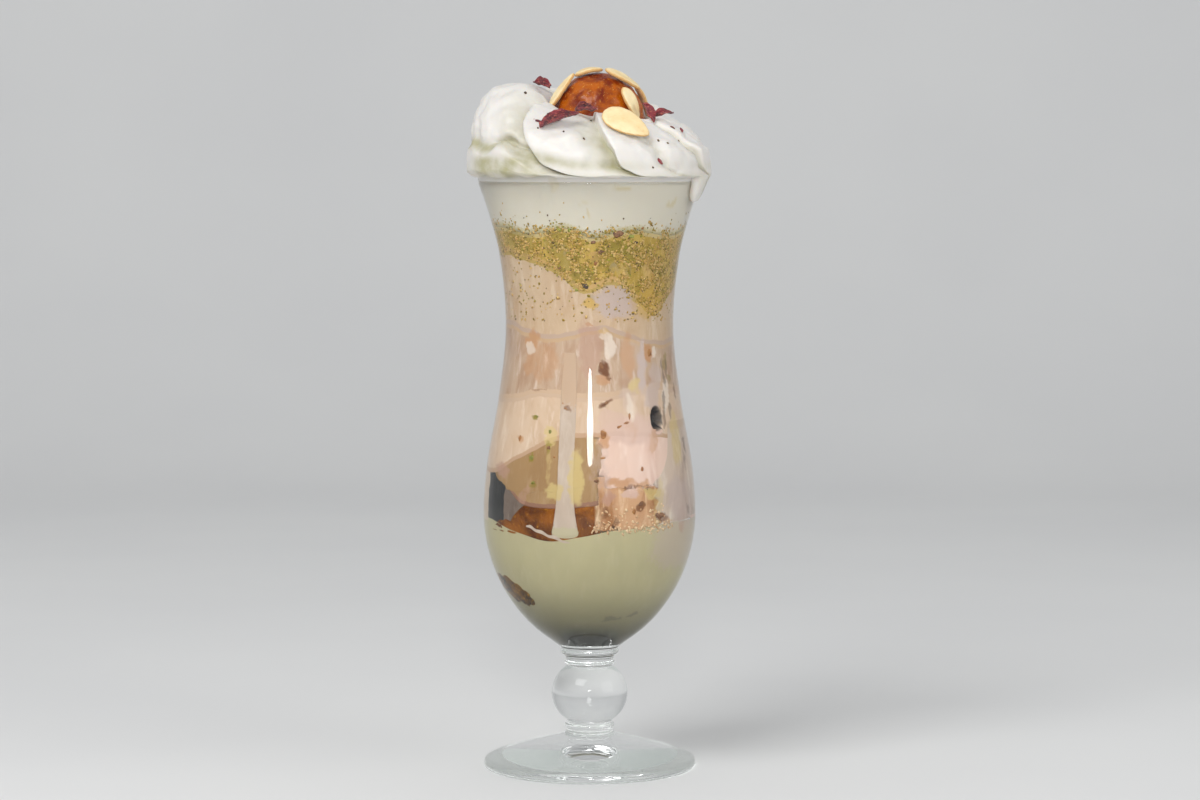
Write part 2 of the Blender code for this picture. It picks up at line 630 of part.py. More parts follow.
def make_whipped_cream(surfaces, collection):
    """Whipped cream: a plug inside the rim, in one piece with the piped ring that laps over the rim."""
    columns = cream_columns()
    socket_turns = (20, 40, 60, 78)
    socket_radius = TOP_JAMUN_RADIUS + 2 * GAP
    wall_heights = (204.5, 201.0, 196.5)
    bottom_shares = (1.0, 0.66, 0.33)
    ring_length = len(ring_section(0.0, 0.0, 1.0))
    ring_start = 1 + len(socket_turns)
    hem_start = ring_start + ring_length
    wall_start = hem_start + 4
    bottom_start = wall_start + len(wall_heights)
    rings = bottom_start + len(bottom_shares)
    centre = Vector(TOP_JAMUN_CENTRE)

    def place(column, ring):
        crease, share = columns[column]
        rim_angle = column_angle(crease, share, 0.0)
        if ring == 0:
            return centre - Vector((0.0, 0.0, socket_radius))
        if ring < ring_start:
            turn = math.radians(socket_turns[ring - 1])
            angle = column_angle(crease, share, 1.0)
            level = centre.z - socket_radius * math.cos(turn)
            offset = Vector((centre.x, centre.y, 0.0))
            return polar(socket_radius * math.sin(turn), angle, level) + offset
        if ring < hem_start:
            guess = column_angle(crease, share, (1 - (ring - ring_start) / (ring_length - 1)) ** RISE_CURVE)
            following = (crease + 1) % len(CREASES)
            strength = blend(CREASE_STRENGTH[crease], CREASE_STRENGTH[following], share)
            radius, height, rise = ring_section(guess, lobe_swell(share), strength)[ring - ring_start]
            point = polar(radius, guess, height)
            shift = max(0.0, rise * 1.6 - 0.6)
            return point + Vector((centre.x * shift, centre.y * shift, lumps(point, 7.0, 0.5, 1.0)))
        run = run_depth(rim_angle)
        low = HEM_HEIGHT - run
        if ring == hem_start:
            hem_radius = blend(HEM_RADIUS, outer_radius(low) + RUN_THICKNESS, run / RUN_LENGTH)
            return polar(hem_radius, rim_angle, low)
        if ring == hem_start + 1:
            return polar(outer_radius(min(low, GLASS_HEIGHT)) + 1.4 * GAP, rim_angle, low + 0.15)
        if ring == hem_start + 2:
            return polar(outer_radius(GLASS_HEIGHT) + GAP, rim_angle, GLASS_HEIGHT + GAP)
        if ring == hem_start + 3:
            return polar(inner_radius(GLASS_HEIGHT) - GAP, rim_angle, GLASS_HEIGHT + GAP)
        if ring < bottom_start:
            height = wall_heights[ring - wall_start]
            return polar(fill_radius(height), rim_angle, height)
        if ring == rings:
            return Vector((0.0, 0.0, surfaces["crumb_top"](0.0, 0.0) + GAP))
        point = polar(fill_radius(CRUMB_TOP[0]) * bottom_shares[ring - bottom_start], rim_angle, 0.0)
        point.z = surfaces["crumb_top"](point.x, point.y) + GAP
        return inside_wall(point)

    material = food("whipped_cream", (0.93, 0.91, 0.86), 0.45)
    return wrapped_sphere("whipped_cream", len(columns), rings, place, material, collection)


def almond_mesh(length, width, bend, grow=0.0):
    """A slice of almond lying flat along X: rounded at one end, pointed at the other, and slightly bent."""
    length, width, thick = length + 2 * grow, width + 2 * grow, ALMOND_THICKNESS + 2 * grow
    mesh = bmesh.new()
    bmesh.ops.create_uvsphere(mesh, u_segments=14, v_segments=4, radius=1.0)
    for vertex in mesh.verts:
        x, y, z = vertex.co
        reach = min(1.0, math.hypot(x, y) * (1.22 if abs(z) > 0.3 else 1.0))
        turn = math.atan2(y, x)
        along = math.cos(turn) * reach
        narrowing = 1 - 0.28 * along - 0.18 * max(along, 0.0) ** 2
        across = math.sin(turn) * reach * narrowing
        level = thick / 2 * (0.0 if abs(z) < 0.3 else math.copysign(1.0, z))
        vertex.co = (along * length / 2, across * width / 2, level - bend * along * along)
    return mesh


def seat_on_jamun(mesh, seat, run):
    """Seats a slice flat on the gulab jamun on top, at the direction seat, with its length along run."""
    up = Vector(seat).normalized()
    along = (Vector(run) - Vector(run).dot(up) * up).normalized()
    side = up.cross(along)
    turned = Matrix((along, side, up)).transposed()
    clearance = TOP_JAMUN_RADIUS + ALMOND_THICKNESS / 2 + 2 * GAP
    for vertex in mesh.verts:
        vertex.co = Vector(TOP_JAMUN_CENTRE) + up * clearance + turned @ vertex.co
    return mesh


def petal_mesh(length, width, curl, seed):
    """A dried petal: a pointed strip that is curled across and crumpled along its length."""
    mesh = bmesh.new()
    bmesh.ops.create_grid(mesh, x_segments=PETAL_GRID[0], y_segments=PETAL_GRID[1], size=1.0)
    for vertex in mesh.verts:
        x, y, _ = vertex.co
        outline = math.sqrt(max(0.06, 1 - abs(x) ** 2.6)) * (1 - 0.25 * x)
        across = y * width / 2 * outline
        height = curl * (y * outline) ** 2 + lumps((x * 2.1, y * 1.3, seed), 1.0, 1.5)
        vertex.co = (x * length / 2, across, height)
    bmesh.ops.triangulate(mesh, faces=mesh.faces)
    return mesh


def drop_on(mesh, place, turns, supports):
    """Spins, tilts and heads a piece, and lowers it over a place until it nearly rests on what lies below."""
    spin, tilt, heading = [math.radians(turn) for turn in turns]
    turned = Matrix.Rotation(heading, 3, "Z") @ Matrix.Rotation(tilt, 3, "X") @ Matrix.Rotation(spin, 3, "Z")
    start = 300.0
    for vertex in mesh.verts:
        vertex.co = turned @ vertex.co + Vector((place[0], place[1], start))
    drop = start
    for support in supports:
        for sample in [vertex.co for vertex in mesh.verts] + [edge_middle(edge) for edge in mesh.edges]:
            hit = support.ray_cast(sample * MM, Vector((0.0, 0.0, -1.0)))[0]
            if hit:
                drop = min(drop, sample.z - hit.z / MM)
    for vertex in mesh.verts:
        vertex.co.z -= drop - 2 * GAP
    return mesh


def edge_middle(edge):
    return (edge.verts[0].co + edge.verts[1].co) / 2


def tree_of(solid):
    """A search tree of an object's finished surface."""
    graph = bpy.context.evaluated_depsgraph_get()
    return BVHTree.FromObject(solid, graph)


def make_toppings(cream, collection, cutters):
    """The gulab jamun on top, the sliced almonds and the dried rose petals."""
    brown = food("gulab_jamun_top", (0.50, 0.19, 0.03), 0.2)
    jamun = make_jamun("gulab_jamun_top", TOP_JAMUN_CENTRE, TOP_JAMUN_RADIUS, 24, brown, collection)
    almond = food("almond_flake", (0.86, 0.68, 0.38), 0.5)
    for name, (length, width, bend, seat, run) in ALMONDS_ON_JAMUN.items():
        add_object(name, seat_on_jamun(almond_mesh(length, width, bend), seat, run), almond, collection)
        if name in SUNK_ALMONDS:
            wider = seat_on_jamun(almond_mesh(length, width, bend, 2 * GAP), seat, run)
            cut(cream, add_object(name + "_cutter", wider, None, cutters))
    bpy.context.view_layer.update()
    supports = [tree_of(cream), tree_of(jamun)]
    length, width, bend, place, turns = FRONT_ALMOND
    front = drop_on(almond_mesh(length, width, bend), place, turns, supports)
    add_object("almond_flake_6", front, almond, collection)
    petal = food("rose_petal", (0.28, 0.02, 0.05), 0.6)
    for seed, (name, (length, width, curl, place, turns)) in enumerate(ROSE_PETALS.items()):
        mesh = drop_on(petal_mesh(length, width, curl, seed), place, turns, supports)
        made = add_object(name, mesh, petal, collection)
        solidify = made.modifiers.new("thickness", "SOLIDIFY")
        solidify.thickness = PETAL_THICKNESS * MM
        solidify.offset = 1.0
        made.modifiers.new("triangles", "TRIANGULATE")


def new_collection(name):
    made = bpy.data.collections.new(name)
    bpy.context.scene.collection.children.link(made)
    return made


def main():
    for old in list(bpy.data.objects):
        bpy.data.objects.remove(old)
    sundae = new_collection("gulab_jamun_sundae")
    cutters = new_collection("cutters")
    surfaces = {
        "cream": surface_between(CREAM_TOP),
        "scoop": surface_between(SCOOP_TOP),
        "lobe": surface_between(LOBE_TOP),
        "waist": surface_between(WAIST_TOP),
        "crumb_floor": surface_between(CRUMB_FLOOR),
        "crumb_top": surface_between(CRUMB_TOP),
    }
    make_glass(sundae)
    scoop = make_belly_pieces(surfaces, sundae, cutters)
    lower, middle = make_layers(surfaces, sundae, cutters)
    make_drip([scoop, lower, middle], sundae, cutters)
    cream = make_whipped_cream(surfaces, sundae)
    make_toppings(cream, sundae, cutters)
    for cutter in cutters.objects:
        cutter.hide_render = True
        cutter.display_type = "WIRE"


main()
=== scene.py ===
"""The looks of a gulab jamun sundae in a tall footed glass, made round its CAD frame.

The file is laid out as an add-on and is run as a script. Lengths in the helper functions are millimetres, and
meshes are stored in metres. Angles round the glass are degrees from +X, so that -90 is the front.
"""

import math

import bmesh
import bpy
import numpy as np
from mathutils import Matrix, Vector, noise
from mathutils.bvhtree import BVHTree


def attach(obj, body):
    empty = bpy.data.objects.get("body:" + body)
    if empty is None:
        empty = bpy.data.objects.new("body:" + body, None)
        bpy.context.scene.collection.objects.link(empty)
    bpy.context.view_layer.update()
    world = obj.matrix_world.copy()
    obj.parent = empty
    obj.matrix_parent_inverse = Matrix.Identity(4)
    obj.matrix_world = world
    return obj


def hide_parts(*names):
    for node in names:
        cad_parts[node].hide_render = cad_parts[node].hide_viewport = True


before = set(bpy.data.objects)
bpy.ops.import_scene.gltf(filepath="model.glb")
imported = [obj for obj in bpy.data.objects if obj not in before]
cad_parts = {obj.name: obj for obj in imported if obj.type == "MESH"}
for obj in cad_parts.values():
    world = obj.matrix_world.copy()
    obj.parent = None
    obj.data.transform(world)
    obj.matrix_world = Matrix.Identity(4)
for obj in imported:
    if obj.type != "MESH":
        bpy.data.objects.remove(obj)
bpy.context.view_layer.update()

bl_info = {
    "name": "Gulab jamun sundae",
    "version": (1, 0, 0),
    "blender": (4, 5, 0),
    "location": "View3D > Sidebar > Sundae",
    "description": "Glass, ice cream layers, piped cream and toppings of a gulab jamun sundae",
    "category": "Object",
}

MM = 0.001
TURN = 360.0
BODY = "root"

# The glass, with the sizes of the CAD solid
GLASS_HEIGHT = 206.0
WALL = 2.3
BOWL_STATIONS = [
    (43.0, 10.9), (49.0, 18.9), (56.0, 25.5), (66.0, 31.7), (78.0, 35.9), (90.0, 37.2),
    (108.0, 35.8), (130.0, 31.9), (155.0, 29.3), (180.0, 31.4), (195.0, 35.3), (206.0, 39.1),
]
BOWL_FLOOR = 44.6
FLOOR_ARC_RADIUS = 9.0
COLLAR_RADIUS = 10.2
NECK_RADIUS = 8.2
BALL_RADIUS = 13.4
BALL_HALF_HEIGHT = 9.8
BALL_CENTRE = 26.0
FOOT_RADIUS = 37.3
FOOT_EDGE = 2.6
FOOT_NECK_HEIGHT = 11.3
FOOT_SWELL = 0.75
FOOT_RIM = [(0.3, 2.35), (0.06, 1.9), (0.0, 1.4), (0.1, 0.8), (0.45, 0.25), (0.9, 0.0)]
REST_RING_INNER = 29.0
KICK_UP = 1.6

# How far the contents reach into the wall, and how far they close the gaps between the CAD solids
WALL_REACH = 0.15
GAP_CLOSING = 0.42

# The piped ring, with the sizes of the CAD solid
TOP_JAMUN_CENTRE = (3.0, 0.0, 227.0)
SOCKET_RADIUS = 16.7
CREST_HEIGHT = [
    (-180, 239.2), (-158, 237.6), (-140, 232.4), (-120, 229.8), (-90, 228.8), (-65, 228.0), (-30, 227.0),
    (0, 227.6), (45, 233.0), (90, 236.0), (135, 238.4),
]
CREST_RADIUS = [(-180, 26.5), (-140, 23.6), (-110, 20.8), (-80, 20.6), (-30, 21.8), (20, 22.6), (90, 25.5)]
OUTER_RADIUS = [(-180, 40.6), (-130, 41.0), (-90, 42.0), (-45, 42.2), (0, 41.4), (60, 41.2), (120, 41.0)]
FULLNESS = [
    (-180, 2.7), (-150, 2.4), (-120, 1.9), (-90, 1.6), (-60, 1.45), (-20, 1.3), (10, 1.3), (50, 1.6),
    (100, 2.2),
]
OUTER_HEIGHT = 214.0
SOCKET_EDGE_HEIGHT = 226.3
CREASES = [
    (-91, -146), (-60, -96), (-37, -73), (-8, -45), (22, -15), (52, 15), (82, 46), (112, 74), (142, 102),
    (172, 132),
]
CREASE_STRENGTH = (1.0, 0.9, 0.35, 0.6, 0.8, 1.0, 1.0, 1.0, 1.0, 1.0)
CREASE_DEPTH = 5.4
LOBE_LEAN = 0.8
RISE_CURVE = 0.55
HEM_HEIGHT = GLASS_HEIGHT + 0.7
HEM_RADIUS = 40.8
RUN_ANGLE = -14.0
RUN_SPREAD = 11.5
RUN_LENGTH = 8.6
RUN_THICKNESS = 1.5
COIL_TOP = [
    (-180, 218.4), (-160, 218.6), (-148, 217.0), (-138, 219.6), (-128, 216.6), (-112, 213.6), (-96, 211.5),
    (-60, 211.0), (0, 211.5), (60, 213.0), (120, 216.0),
]
COIL_DEPTH = [(-180, 3.0), (-120, 2.8), (-96, 1.8), (-60, 0.6), (0, 0.7), (60, 1.0), (120, 2.0)]
COIL_REACH = 2.4
COIL_STAND = 0.5
RING_SOFT_LIMIT = 41.7
RING_STEP = 0.85
PLUG_TOP = 204.8

# Where the layers meet, with the values of the CAD solids: the height at the axis, then at the wall by angle
CREAM_TOP = (88.5, [
    (-160, 88.6), (-132, 85.0), (-112, 83.0), (-96, 84.5), (-75, 86.8), (-30, 88.0), (60, 89.0), (140, 88.0),
])
SCOOP_TOP = (119.0, [
    (-165, 108.0), (-135, 114.0), (-112, 120.5), (-85, 122.5), (-40, 121.0), (20, 117.0), (100, 119.0),
])
LOBE_TOP = (133.0, [(-160, 130.0), (-120, 133.5), (-85, 132.0), (-40, 135.0), (20, 131.0), (100, 135.0)])
WAIST_TOP = (154.0, [(-160, 156.0), (-120, 152.0), (-80, 155.0), (-40, 149.5), (20, 152.5), (100, 156.0)])
CRUMB_FLOOR = (174.0, [
    (-170, 181.5), (-140, 180.5), (-112, 175.5), (-96, 169.5), (-85, 170.0), (-72, 172.0), (-55, 165.5),
    (-38, 160.5), (-22, 167.0), (20, 175.0), (70, 171.0), (120, 177.0),
])
CRUMB_TOP = (188.0, [
    (-160, 190.5), (-125, 188.0), (-105, 190.0), (-88, 186.5), (-65, 189.5), (-40, 187.5), (10, 190.0),
    (90, 187.5),
])
RIPPLE = 0.7
LOBE_LAP = 3.4
RUN_SINK = 1.8
RUN_INSIDE_ANGLE = -103.5
RUN_FOOT_SPREAD = 8.0
RUN_NARROWING = 0.8
CHUNK_LEAN = 0.4
CHUNK_STRETCH = 0.3

# The air pocket: angle, height, half width, half height and depth, and how near the axis it may come
AIR_POCKET = (-43.0, 123.8, 2.4, 4.3, 4.0)
POCKET_INNERMOST = 20.0

# Edges of the thin films at the wall: height by angle
SOAKED_EDGE = [
    (-180, 84.0), (-143, 86.5), (-136, 91.5), (-127, 95.6), (-112, 97.4), (-97, 98.0), (-84, 97.0), (0, 84.0),
]
SCOOP_FOOT = [
    (-180, 111.5), (-158, 109.5), (-150, 105.2), (-140, 99.6), (-130, 95.4), (-110, 94.6), (-88, 95.6),
    (-80, 96.5), (0, 98.0),
]
WISP_TOP = [
    (-180, 94.0), (-127, 88.4), (-124, 88.6), (-121, 87.4), (-117, 87.0), (-113, 85.6), (-109, 85.5),
    (-105, 84.0), (-101, 83.4), (0, 78.0),
]
WISP_FOOT = [
    (-180, 93.5), (-127, 87.9), (-124, 87.5), (-121, 86.4), (-117, 85.8), (-113, 84.7), (-109, 84.2),
    (-105, 83.1), (-101, 82.9), (0, 77.0),
]
SPONGE_FOOT = [(-180, 87.6), (-88, 87.6), (-79, 87.6), (-74, 93.0), (-69, 95.5), (0, 95.5)]
BACK_SMEAR_TOP = [
    (-310, 90.0), (-292, 92.5), (-270, 96.5), (-240, 98.5), (-220, 101.0), (-208, 105.0), (-198, 109.0),
    (-160, 109.0), (-60, 88.5),
]
SMEAR_TOP = [(-180, 103.0), (-54, 103.0), (-46, 105.0), (-38, 112.0), (-31, 126.0), (40, 127.0), (90, 127.0)]

# Thin films at the wall, by piece: slot, lower and upper edge, first and last angle, thickness, how much
# further than the foods they reach into the wall and how far their two upright edges stray
FILMS = {
    "cream_film_left": ("beige_ice_cream", 87.6, 112.0, -206.0, -164.0, 0.8, 0.0, (4.0, 1.0)),
    "cream_film_back": ("beige_ice_cream", 87.6, BACK_SMEAR_TOP, -306.0, -200.0, 0.8, -0.05, (2.0, 2.0)),
    # Painted shade: a dark film stands in for the shaded air space between the foods at the left.
    "pocket_lining": ("beige_ice_cream", 86.5, 111.0, -168.0, -145.0, 0.6, -0.08, (0.0, 1.0)),
    # Partly its own grey-brown and partly painted shade beside the air space at the left.
    "pocket_streak": ("beige_ice_cream", 84.0, 112.0, -149.0, -112.0, 0.6, -0.10, (0.0, 1.0)),
    "cream_wisp": ("melted_cream", WISP_FOOT, WISP_TOP, -127.0, -101.0, 0.7, 0.06, (0.0, 1.0)),
    "cream_film_right": ("pink_ice_cream", 86.9, SMEAR_TOP, -50.0, 40.0, 0.8, 0.08, (2.2, 0.0)),
    "scoop_foot": ("kulfi", SCOOP_FOOT, 110.5, -156.0, -85.0, 0.8, -0.02, (0.0, 1.0)),
    "sponge_border": ("sponge", SPONGE_FOOT, 105.5, -87.0, -46.0, 0.9, -0.03, (0.0, 1.0)),
    "soaked_edge": ("gulab_jamun", 82.0, SOAKED_EDGE, -141.0, -84.0, 1.4, -0.04, (0.0, 1.0)),
}

# Foods made from their CAD solids, by piece: node, slot, size of the faces, height, size and seed of the
# bumps, distances from the wall where they start to grow and where they touch it, and reach into it
FILLS = {
    "cream_run_inside": ("cream_drip", "melted_cream", 0.4, 0.0, 3.0, 0.0, 1.6, 0.7, WALL_REACH + 0.12),
    "tan_scoop": ("kulfi_scoop", "kulfi", 0.7, 0.5, 3.0, 1.0, 5.5, 2.4, WALL_REACH),
    "pink_scoop_fill": ("pink_scoop", "pink_ice_cream", 0.7, 0.6, 3.5, 2.0, 4.0, 1.8, WALL_REACH),
    "sponge_pieces": ("sponge_crumbs", "sponge", 0.6, 1.0, 1.8, 3.0, 5.5, 2.6, WALL_REACH),
    "lower_gulab_jamun": ("gulab_jamun_lower", "gulab_jamun", 0.6, 0.3, 2.0, 8.0, 9.5, 4.5, WALL_REACH),
    "loose_chunk": ("gulab_jamun_chunk", "gulab_jamun", 0.35, 1.3, 2.2, 9.0, 3.5, 1.5, WALL_REACH + 0.12),
}
SPONGE_LOWEST = 86.0

# Crumbs of the pistachio band, by piece: material, its two colours, how many lie on a square millimetre,
# smallest and largest half size, and seed
CRUMBS = {
    "pistachio_crumbs": ("ground_pistachio", "#8c7a1c", "#b3943a", 2.6, 0.20, 0.55, 11),
    "pale_crumbs": ("ground_almond", "#d6b878", "#c69e56", 2.0, 0.25, 0.65, 17),
    "bright_crumbs": ("bright_pistachio", "#a39b2c", "#8f8a24", 0.5, 0.20, 0.5, 29),
    "nut_skin_specks": ("nut_skin", "#5e3f2c", "#5c4c1c", 0.5, 0.16, 0.42, 23),
}

# What shows at the wall, by kind: angle, height, half width, half height, lean in degrees and strength
WALL_PATCHES = {
    "pink": [
        (-62, 121.0, 12.0, 4.6, 0, 0.85), (-76, 125.5, 4.5, 3.0, 0, 0.6), (-67, 99.6, 3.6, 1.8, 10, 0.9),
    ],
    "tan": [
        (-134, 151.8, 2.8, 3.1, 0, 0.8), (-124, 144.2, 7.0, 6.8, 0, 0.45), (-135, 142.5, 2.4, 3.8, 0, 0.5),
        (-116, 147.7, 2.3, 3.4, 10, 0.4), (-81, 138.3, 2.1, 2.0, 0, 0.7), (-62, 146.3, 2.5, 7.5, 0, 0.6),
        (-45, 146.7, 1.9, 3.1, 0, 0.9), (-81, 118.2, 1.6, 3.1, 5, 0.85), (-82, 111.8, 1.4, 0.9, 0, 0.5),
        (-63, 121.2, 2.7, 4.1, 0, 0.35), (-136, 117.4, 1.2, 1.5, 0, 0.7), (-91, 93.9, 2.0, 2.0, 0, 0.5),
        (-44, 89.5, 2.0, 1.4, 0, 0.5), (-48, 117.4, 1.8, 4.8, -20, 0.5), (-73, 103.2, 5.5, 1.7, 0, 0.85),
        (-59, 102.6, 3.4, 1.5, 10, 0.85), (-90, 157.6, 0.8, 1.0, 0, 0.7), (-84, 180.6, 3.4, 2.0, 10, 0.5),
        (-44, 175.5, 3.9, 4.8, 0, 0.4),
    ],
    "mauve": [
        (-90, 148.6, 4.1, 10.2, 0, 0.5), (-88, 144.5, 2.7, 3.1, -20, 0.5),
        (-149, 106.4, 3.9, 2.4, -30, 0.7), (-130, 98.1, 1.8, 5.5, -28, 0.5), (-84, 104.7, 3.1, 3.4, 0, 0.4),
        (-28, 89.0, 2.9, 4.1, 0, 0.5), (-90, 157.1, 4.1, 3.4, 0, 0.35), (-79, 98.8, 2.6, 2.4, 0, 0.75),
    ],
    "lilac": [
        (-52, 142.7, 1.5, 9.2, -4, 0.9), (-40, 138.3, 2.6, 4.8, -6, 0.6), (-45, 131.6, 2.9, 4.8, 0, 0.7),
        (-84, 108.1, 3.1, 10.2, 0, 0.35), (-65, 131.4, 3.0, 4.1, 0, 0.4), (-32, 96.1, 5.8, 8.2, 0, 0.6),
        (-156, 149.2, 5.0, 10.2, 0, 0.25), (-72, 164.5, 6.6, 5.6, 0, 0.85), (-22, 95.0, 5.0, 9.0, 0, 0.45),
    ],
    # Pale cream streaks at the wall; some of them are painted highlights.
    "cream": [
        (-136, 148.7, 1.5, 2.7, 0, 0.6), (-76, 149.9, 1.9, 3.8, 0, 0.75), (-79, 153.3, 1.7, 2.0, 0, 0.5),
        (-40, 147.2, 1.1, 2.0, 0, 0.8), (-31, 131.8, 1.7, 5.5, -12, 0.8), (-63, 128.7, 1.2, 4.8, 0, 0.6),
        (-44, 103.0, 2.2, 4.0, 0, 0.45),
    ],
    "brown": [
        (-125, 134.6, 3.3, 0.4, 8, 0.5), (-79.5, 141.7, 1.9, 2.8, 12, 0.95),
        (-80, 129.9, 2.3, 0.9, 30, 0.85), (-104, 128.5, 1.8, 0.8, -25, 0.6), (-60, 95.4, 1.6, 1.7, 0, 0.8),
        (-47, 90.7, 2.8, 2.0, 0, 0.65), (-17, 132.8, 1.0, 2.8, -8, 0.6), (-66, 101.6, 3.0, 0.7, 10, 0.65),
        (-54, 100.5, 1.4, 1.6, 0, 0.7), (-81, 93.5, 1.6, 2.6, 0, 0.55),
    ],
    "yellow": [
        (-90, 164.3, 2.2, 1.7, 0, 0.8), (-80, 155.0, 2.1, 0.7, 0, 0.4), (-84, 176.5, 2.6, 2.2, 0, 0.9),
        (-44, 166.2, 4.8, 7.4, -6, 0.6),
    ],
    "straw": [
        (-59, 136.4, 2.0, 2.7, 0, 0.8), (-114, 118.6, 1.7, 4.4, 0, 0.7), (-97, 105.4, 2.4, 8.9, 0, 0.8),
        (-110, 100.4, 3.6, 2.4, 25, 0.75), (-114, 107.8, 1.1, 6.8, 0, 0.4), (-52, 99.2, 3.4, 2.0, 0, 0.75),
        (-50, 91.9, 1.8, 4.8, 0, 0.4), (-26, 116.5, 3.1, 8.9, -6, 0.6), (-47, 97.0, 1.6, 8.0, -6, 0.45),
    ],
    "green": [
        (-126, 125.4, 1.3, 0.7, 0, 0.9), (-115, 115.2, 1.0, 2.4, 0, 0.7), (-126, 111.2, 1.3, 1.1, 0, 0.9),
        (-123, 102.1, 1.2, 1.0, 0, 0.6), (-72, 183.0, 6.1, 2.4, -10, 0.75),
        (-56, 179.1, 3.7, 2.7, -30, 0.75),
    ],
    "mossy": [
        (-27, 143.3, 1.5, 3.0, -12, 0.55), (-24, 137.5, 1.2, 2.2, 10, 0.5), (-142, 185.4, 7.7, 5.1, 0, 0.5),
        (-111, 185.0, 4.0, 6.1, 0, 0.55), (-105, 178.6, 3.5, 4.1, 0, 0.65),
        (-95, 174.2, 5.1, 2.7, -12, 0.7), (-80, 178.6, 4.8, 3.1, 0, 0.5), (-49, 180.7, 5.4, 8.2, 0, 0.25),
        (-61, 178.5, 3.1, 4.1, 0, 0.4),
    ],
    "grey": [
        (-88, 166.6, 1.4, 1.4, 0, 0.4), (-74, 175.8, 2.3, 2.0, 0, 0.4), (-106, 182.7, 1.4, 1.7, 0, 0.35),
        (-66, 175.1, 2.6, 3.1, 0, 0.3),
    ],
    # Painted shade in the narrow dark spaces between the foods at the wall.
    "gap_shade": [
        (-31, 139.4, 0.9, 5.5, 6, 0.55), (-26, 141.0, 0.7, 4.0, -8, 0.5), (-35, 127.1, 0.8, 7.0, -12, 0.6),
        (-38.5, 124.0, 0.6, 4.5, 8, 0.5), (-19, 108.5, 0.8, 4.2, 6, 0.5), (-16, 113.8, 1.1, 2.8, 4, 0.65),
        (-21, 92.7, 1.2, 1.6, 20, 0.5), (-28, 126.6, 0.9, 3.2, -10, 0.55),
    ],
    # Painted shade: the inside of the air pocket is coloured nearly black.
    "pocket_hole_shade": [
        (-43, 123.8, 1.8, 3.6, -8, 1.0),
    ],
    # Grey smudges low on the base cream; the wide one at -92 degrees is painted shade at the bottom of the
    # bowl.
    "smudge_and_bottom_shade": [
        (-70, 55.7, 3.3, 0.9, 6, 0.6), (-52, 57.0, 2.2, 0.8, 15, 0.6), (-92, 47.8, 9.6, 1.7, 0, 0.6),
    ],
    "smear": [
        (-73, 204.1, 2.9, 0.7, 0, 0.7), (-37, 198.4, 2.8, 1.0, 20, 0.6), (-91, 195.0, 0.7, 1.4, 0, 0.5),
        (-109, 205.1, 1.8, 1.7, 0, 0.3), (-94, 198.4, 1.4, 0.7, 0, 0.3),
    ],
}

# Nuts and fruit pressed against the wall, by kind: angle, height, half width, half height and lean in degrees
WALL_BITS = {
    "dark_nut": [
        (-92.9, 170.6, 0.9, 1.4, 25), (-59.5, 185.3, 1.0, 0.6, 0), (-64.5, 186.4, 0.6, 0.8, 0),
        (-57.8, 160.7, 0.4, 0.4, 0),
    ],
    "brown_nut": [
        (-71.7, 188.8, 1.8, 1.7, 0), (-87.6, 185.6, 1.0, 0.9, 0), (-110.3, 176.8, 0.9, 0.8, 0),
        (-81.7, 182.0, 1.4, 1.0, 0), (-81.5, 142.8, 0.9, 1.5, 10), (-79.9, 129.9, 1.7, 0.6, 30),
        (-114.7, 114.9, 0.8, 0.8, 0), (-46.9, 91.1, 2.3, 1.9, 0), (-60.1, 95.7, 1.3, 1.2, 0),
        (-86.0, 104.1, 1.0, 0.7, 0),
    ],
    "lime": [
        (-108.5, 189.8, 0.9, 0.8, 0), (-102.1, 189.8, 0.6, 0.9, 0), (-62.8, 187.5, 1.2, 0.8, 0),
        (-98.8, 169.0, 0.6, 0.6, 0),
    ],
    "amber": [
        (-55.6, 190.3, 0.7, 0.6, 0), (-85.3, 178.3, 1.0, 1.0, 0), (-104.3, 128.2, 1.4, 0.5, -25),
        (-107.1, 130.2, 0.7, 0.3, -20), (-136.5, 117.4, 0.9, 1.2, 0), (-110.7, 111.9, 0.5, 0.5, 0),
        (-81.1, 119.2, 1.2, 2.0, 5), (-82.0, 111.8, 1.1, 0.5, 0), (-64.7, 93.2, 0.9, 1.4, 0),
        (-43.5, 146.3, 1.1, 1.7, 0), (-71.3, 122.1, 1.1, 0.5, 25), (-66.7, 123.3, 1.5, 0.5, 20),
        (-63.8, 125.3, 0.5, 1.7, 0), (-58.2, 107.6, 0.8, 1.0, 0),
    ],
    "green_nut": [
        (-125.5, 125.4, 1.0, 0.5, 0), (-114.7, 120.3, 0.7, 1.0, 0), (-125.8, 111.2, 1.1, 0.9, 0),
        (-123.2, 102.8, 0.9, 0.8, 0),
    ],
}

# Colours of the nuts and the fruit at the wall
BIT_COLORS = {
    "dark_nut": ("#4f382c", "#33241e"), "brown_nut": ("#8a5f3c", "#6b452a"), "lime": ("#9ea244", "#83892f"),
    "amber": ("#a8763f", "#8f5a2a"), "green_nut": ("#8a8537", "#70712a"),
}

# Lobes of the ring whose edge laps over the lobe before them, and how far
LAPPED = {0: 1.3, 1: 1.0, 3: 0.5, 5: 0.5, 7: 0.6, 9: 0.5}

# Colours of the wall patches, as hex sRGB
PATCH_TONES = {
    "pink": "#cfb3a6", "tan": "#bf9169", "mauve": "#b48f7e", "lilac": "#bfaea8", "cream": "#e2d6c9",
    "brown": "#70452a", "yellow": "#c9a44c", "straw": "#cbb67c", "green": "#8a7d2c", "mossy": "#8f7f38",
    "grey": "#9c9287", "gap_shade": "#6b5a50", "pocket_hole_shade": "#1e1618", "smudge_and_bottom_shade": "#77726b", "smear": "#cdbf94",
}

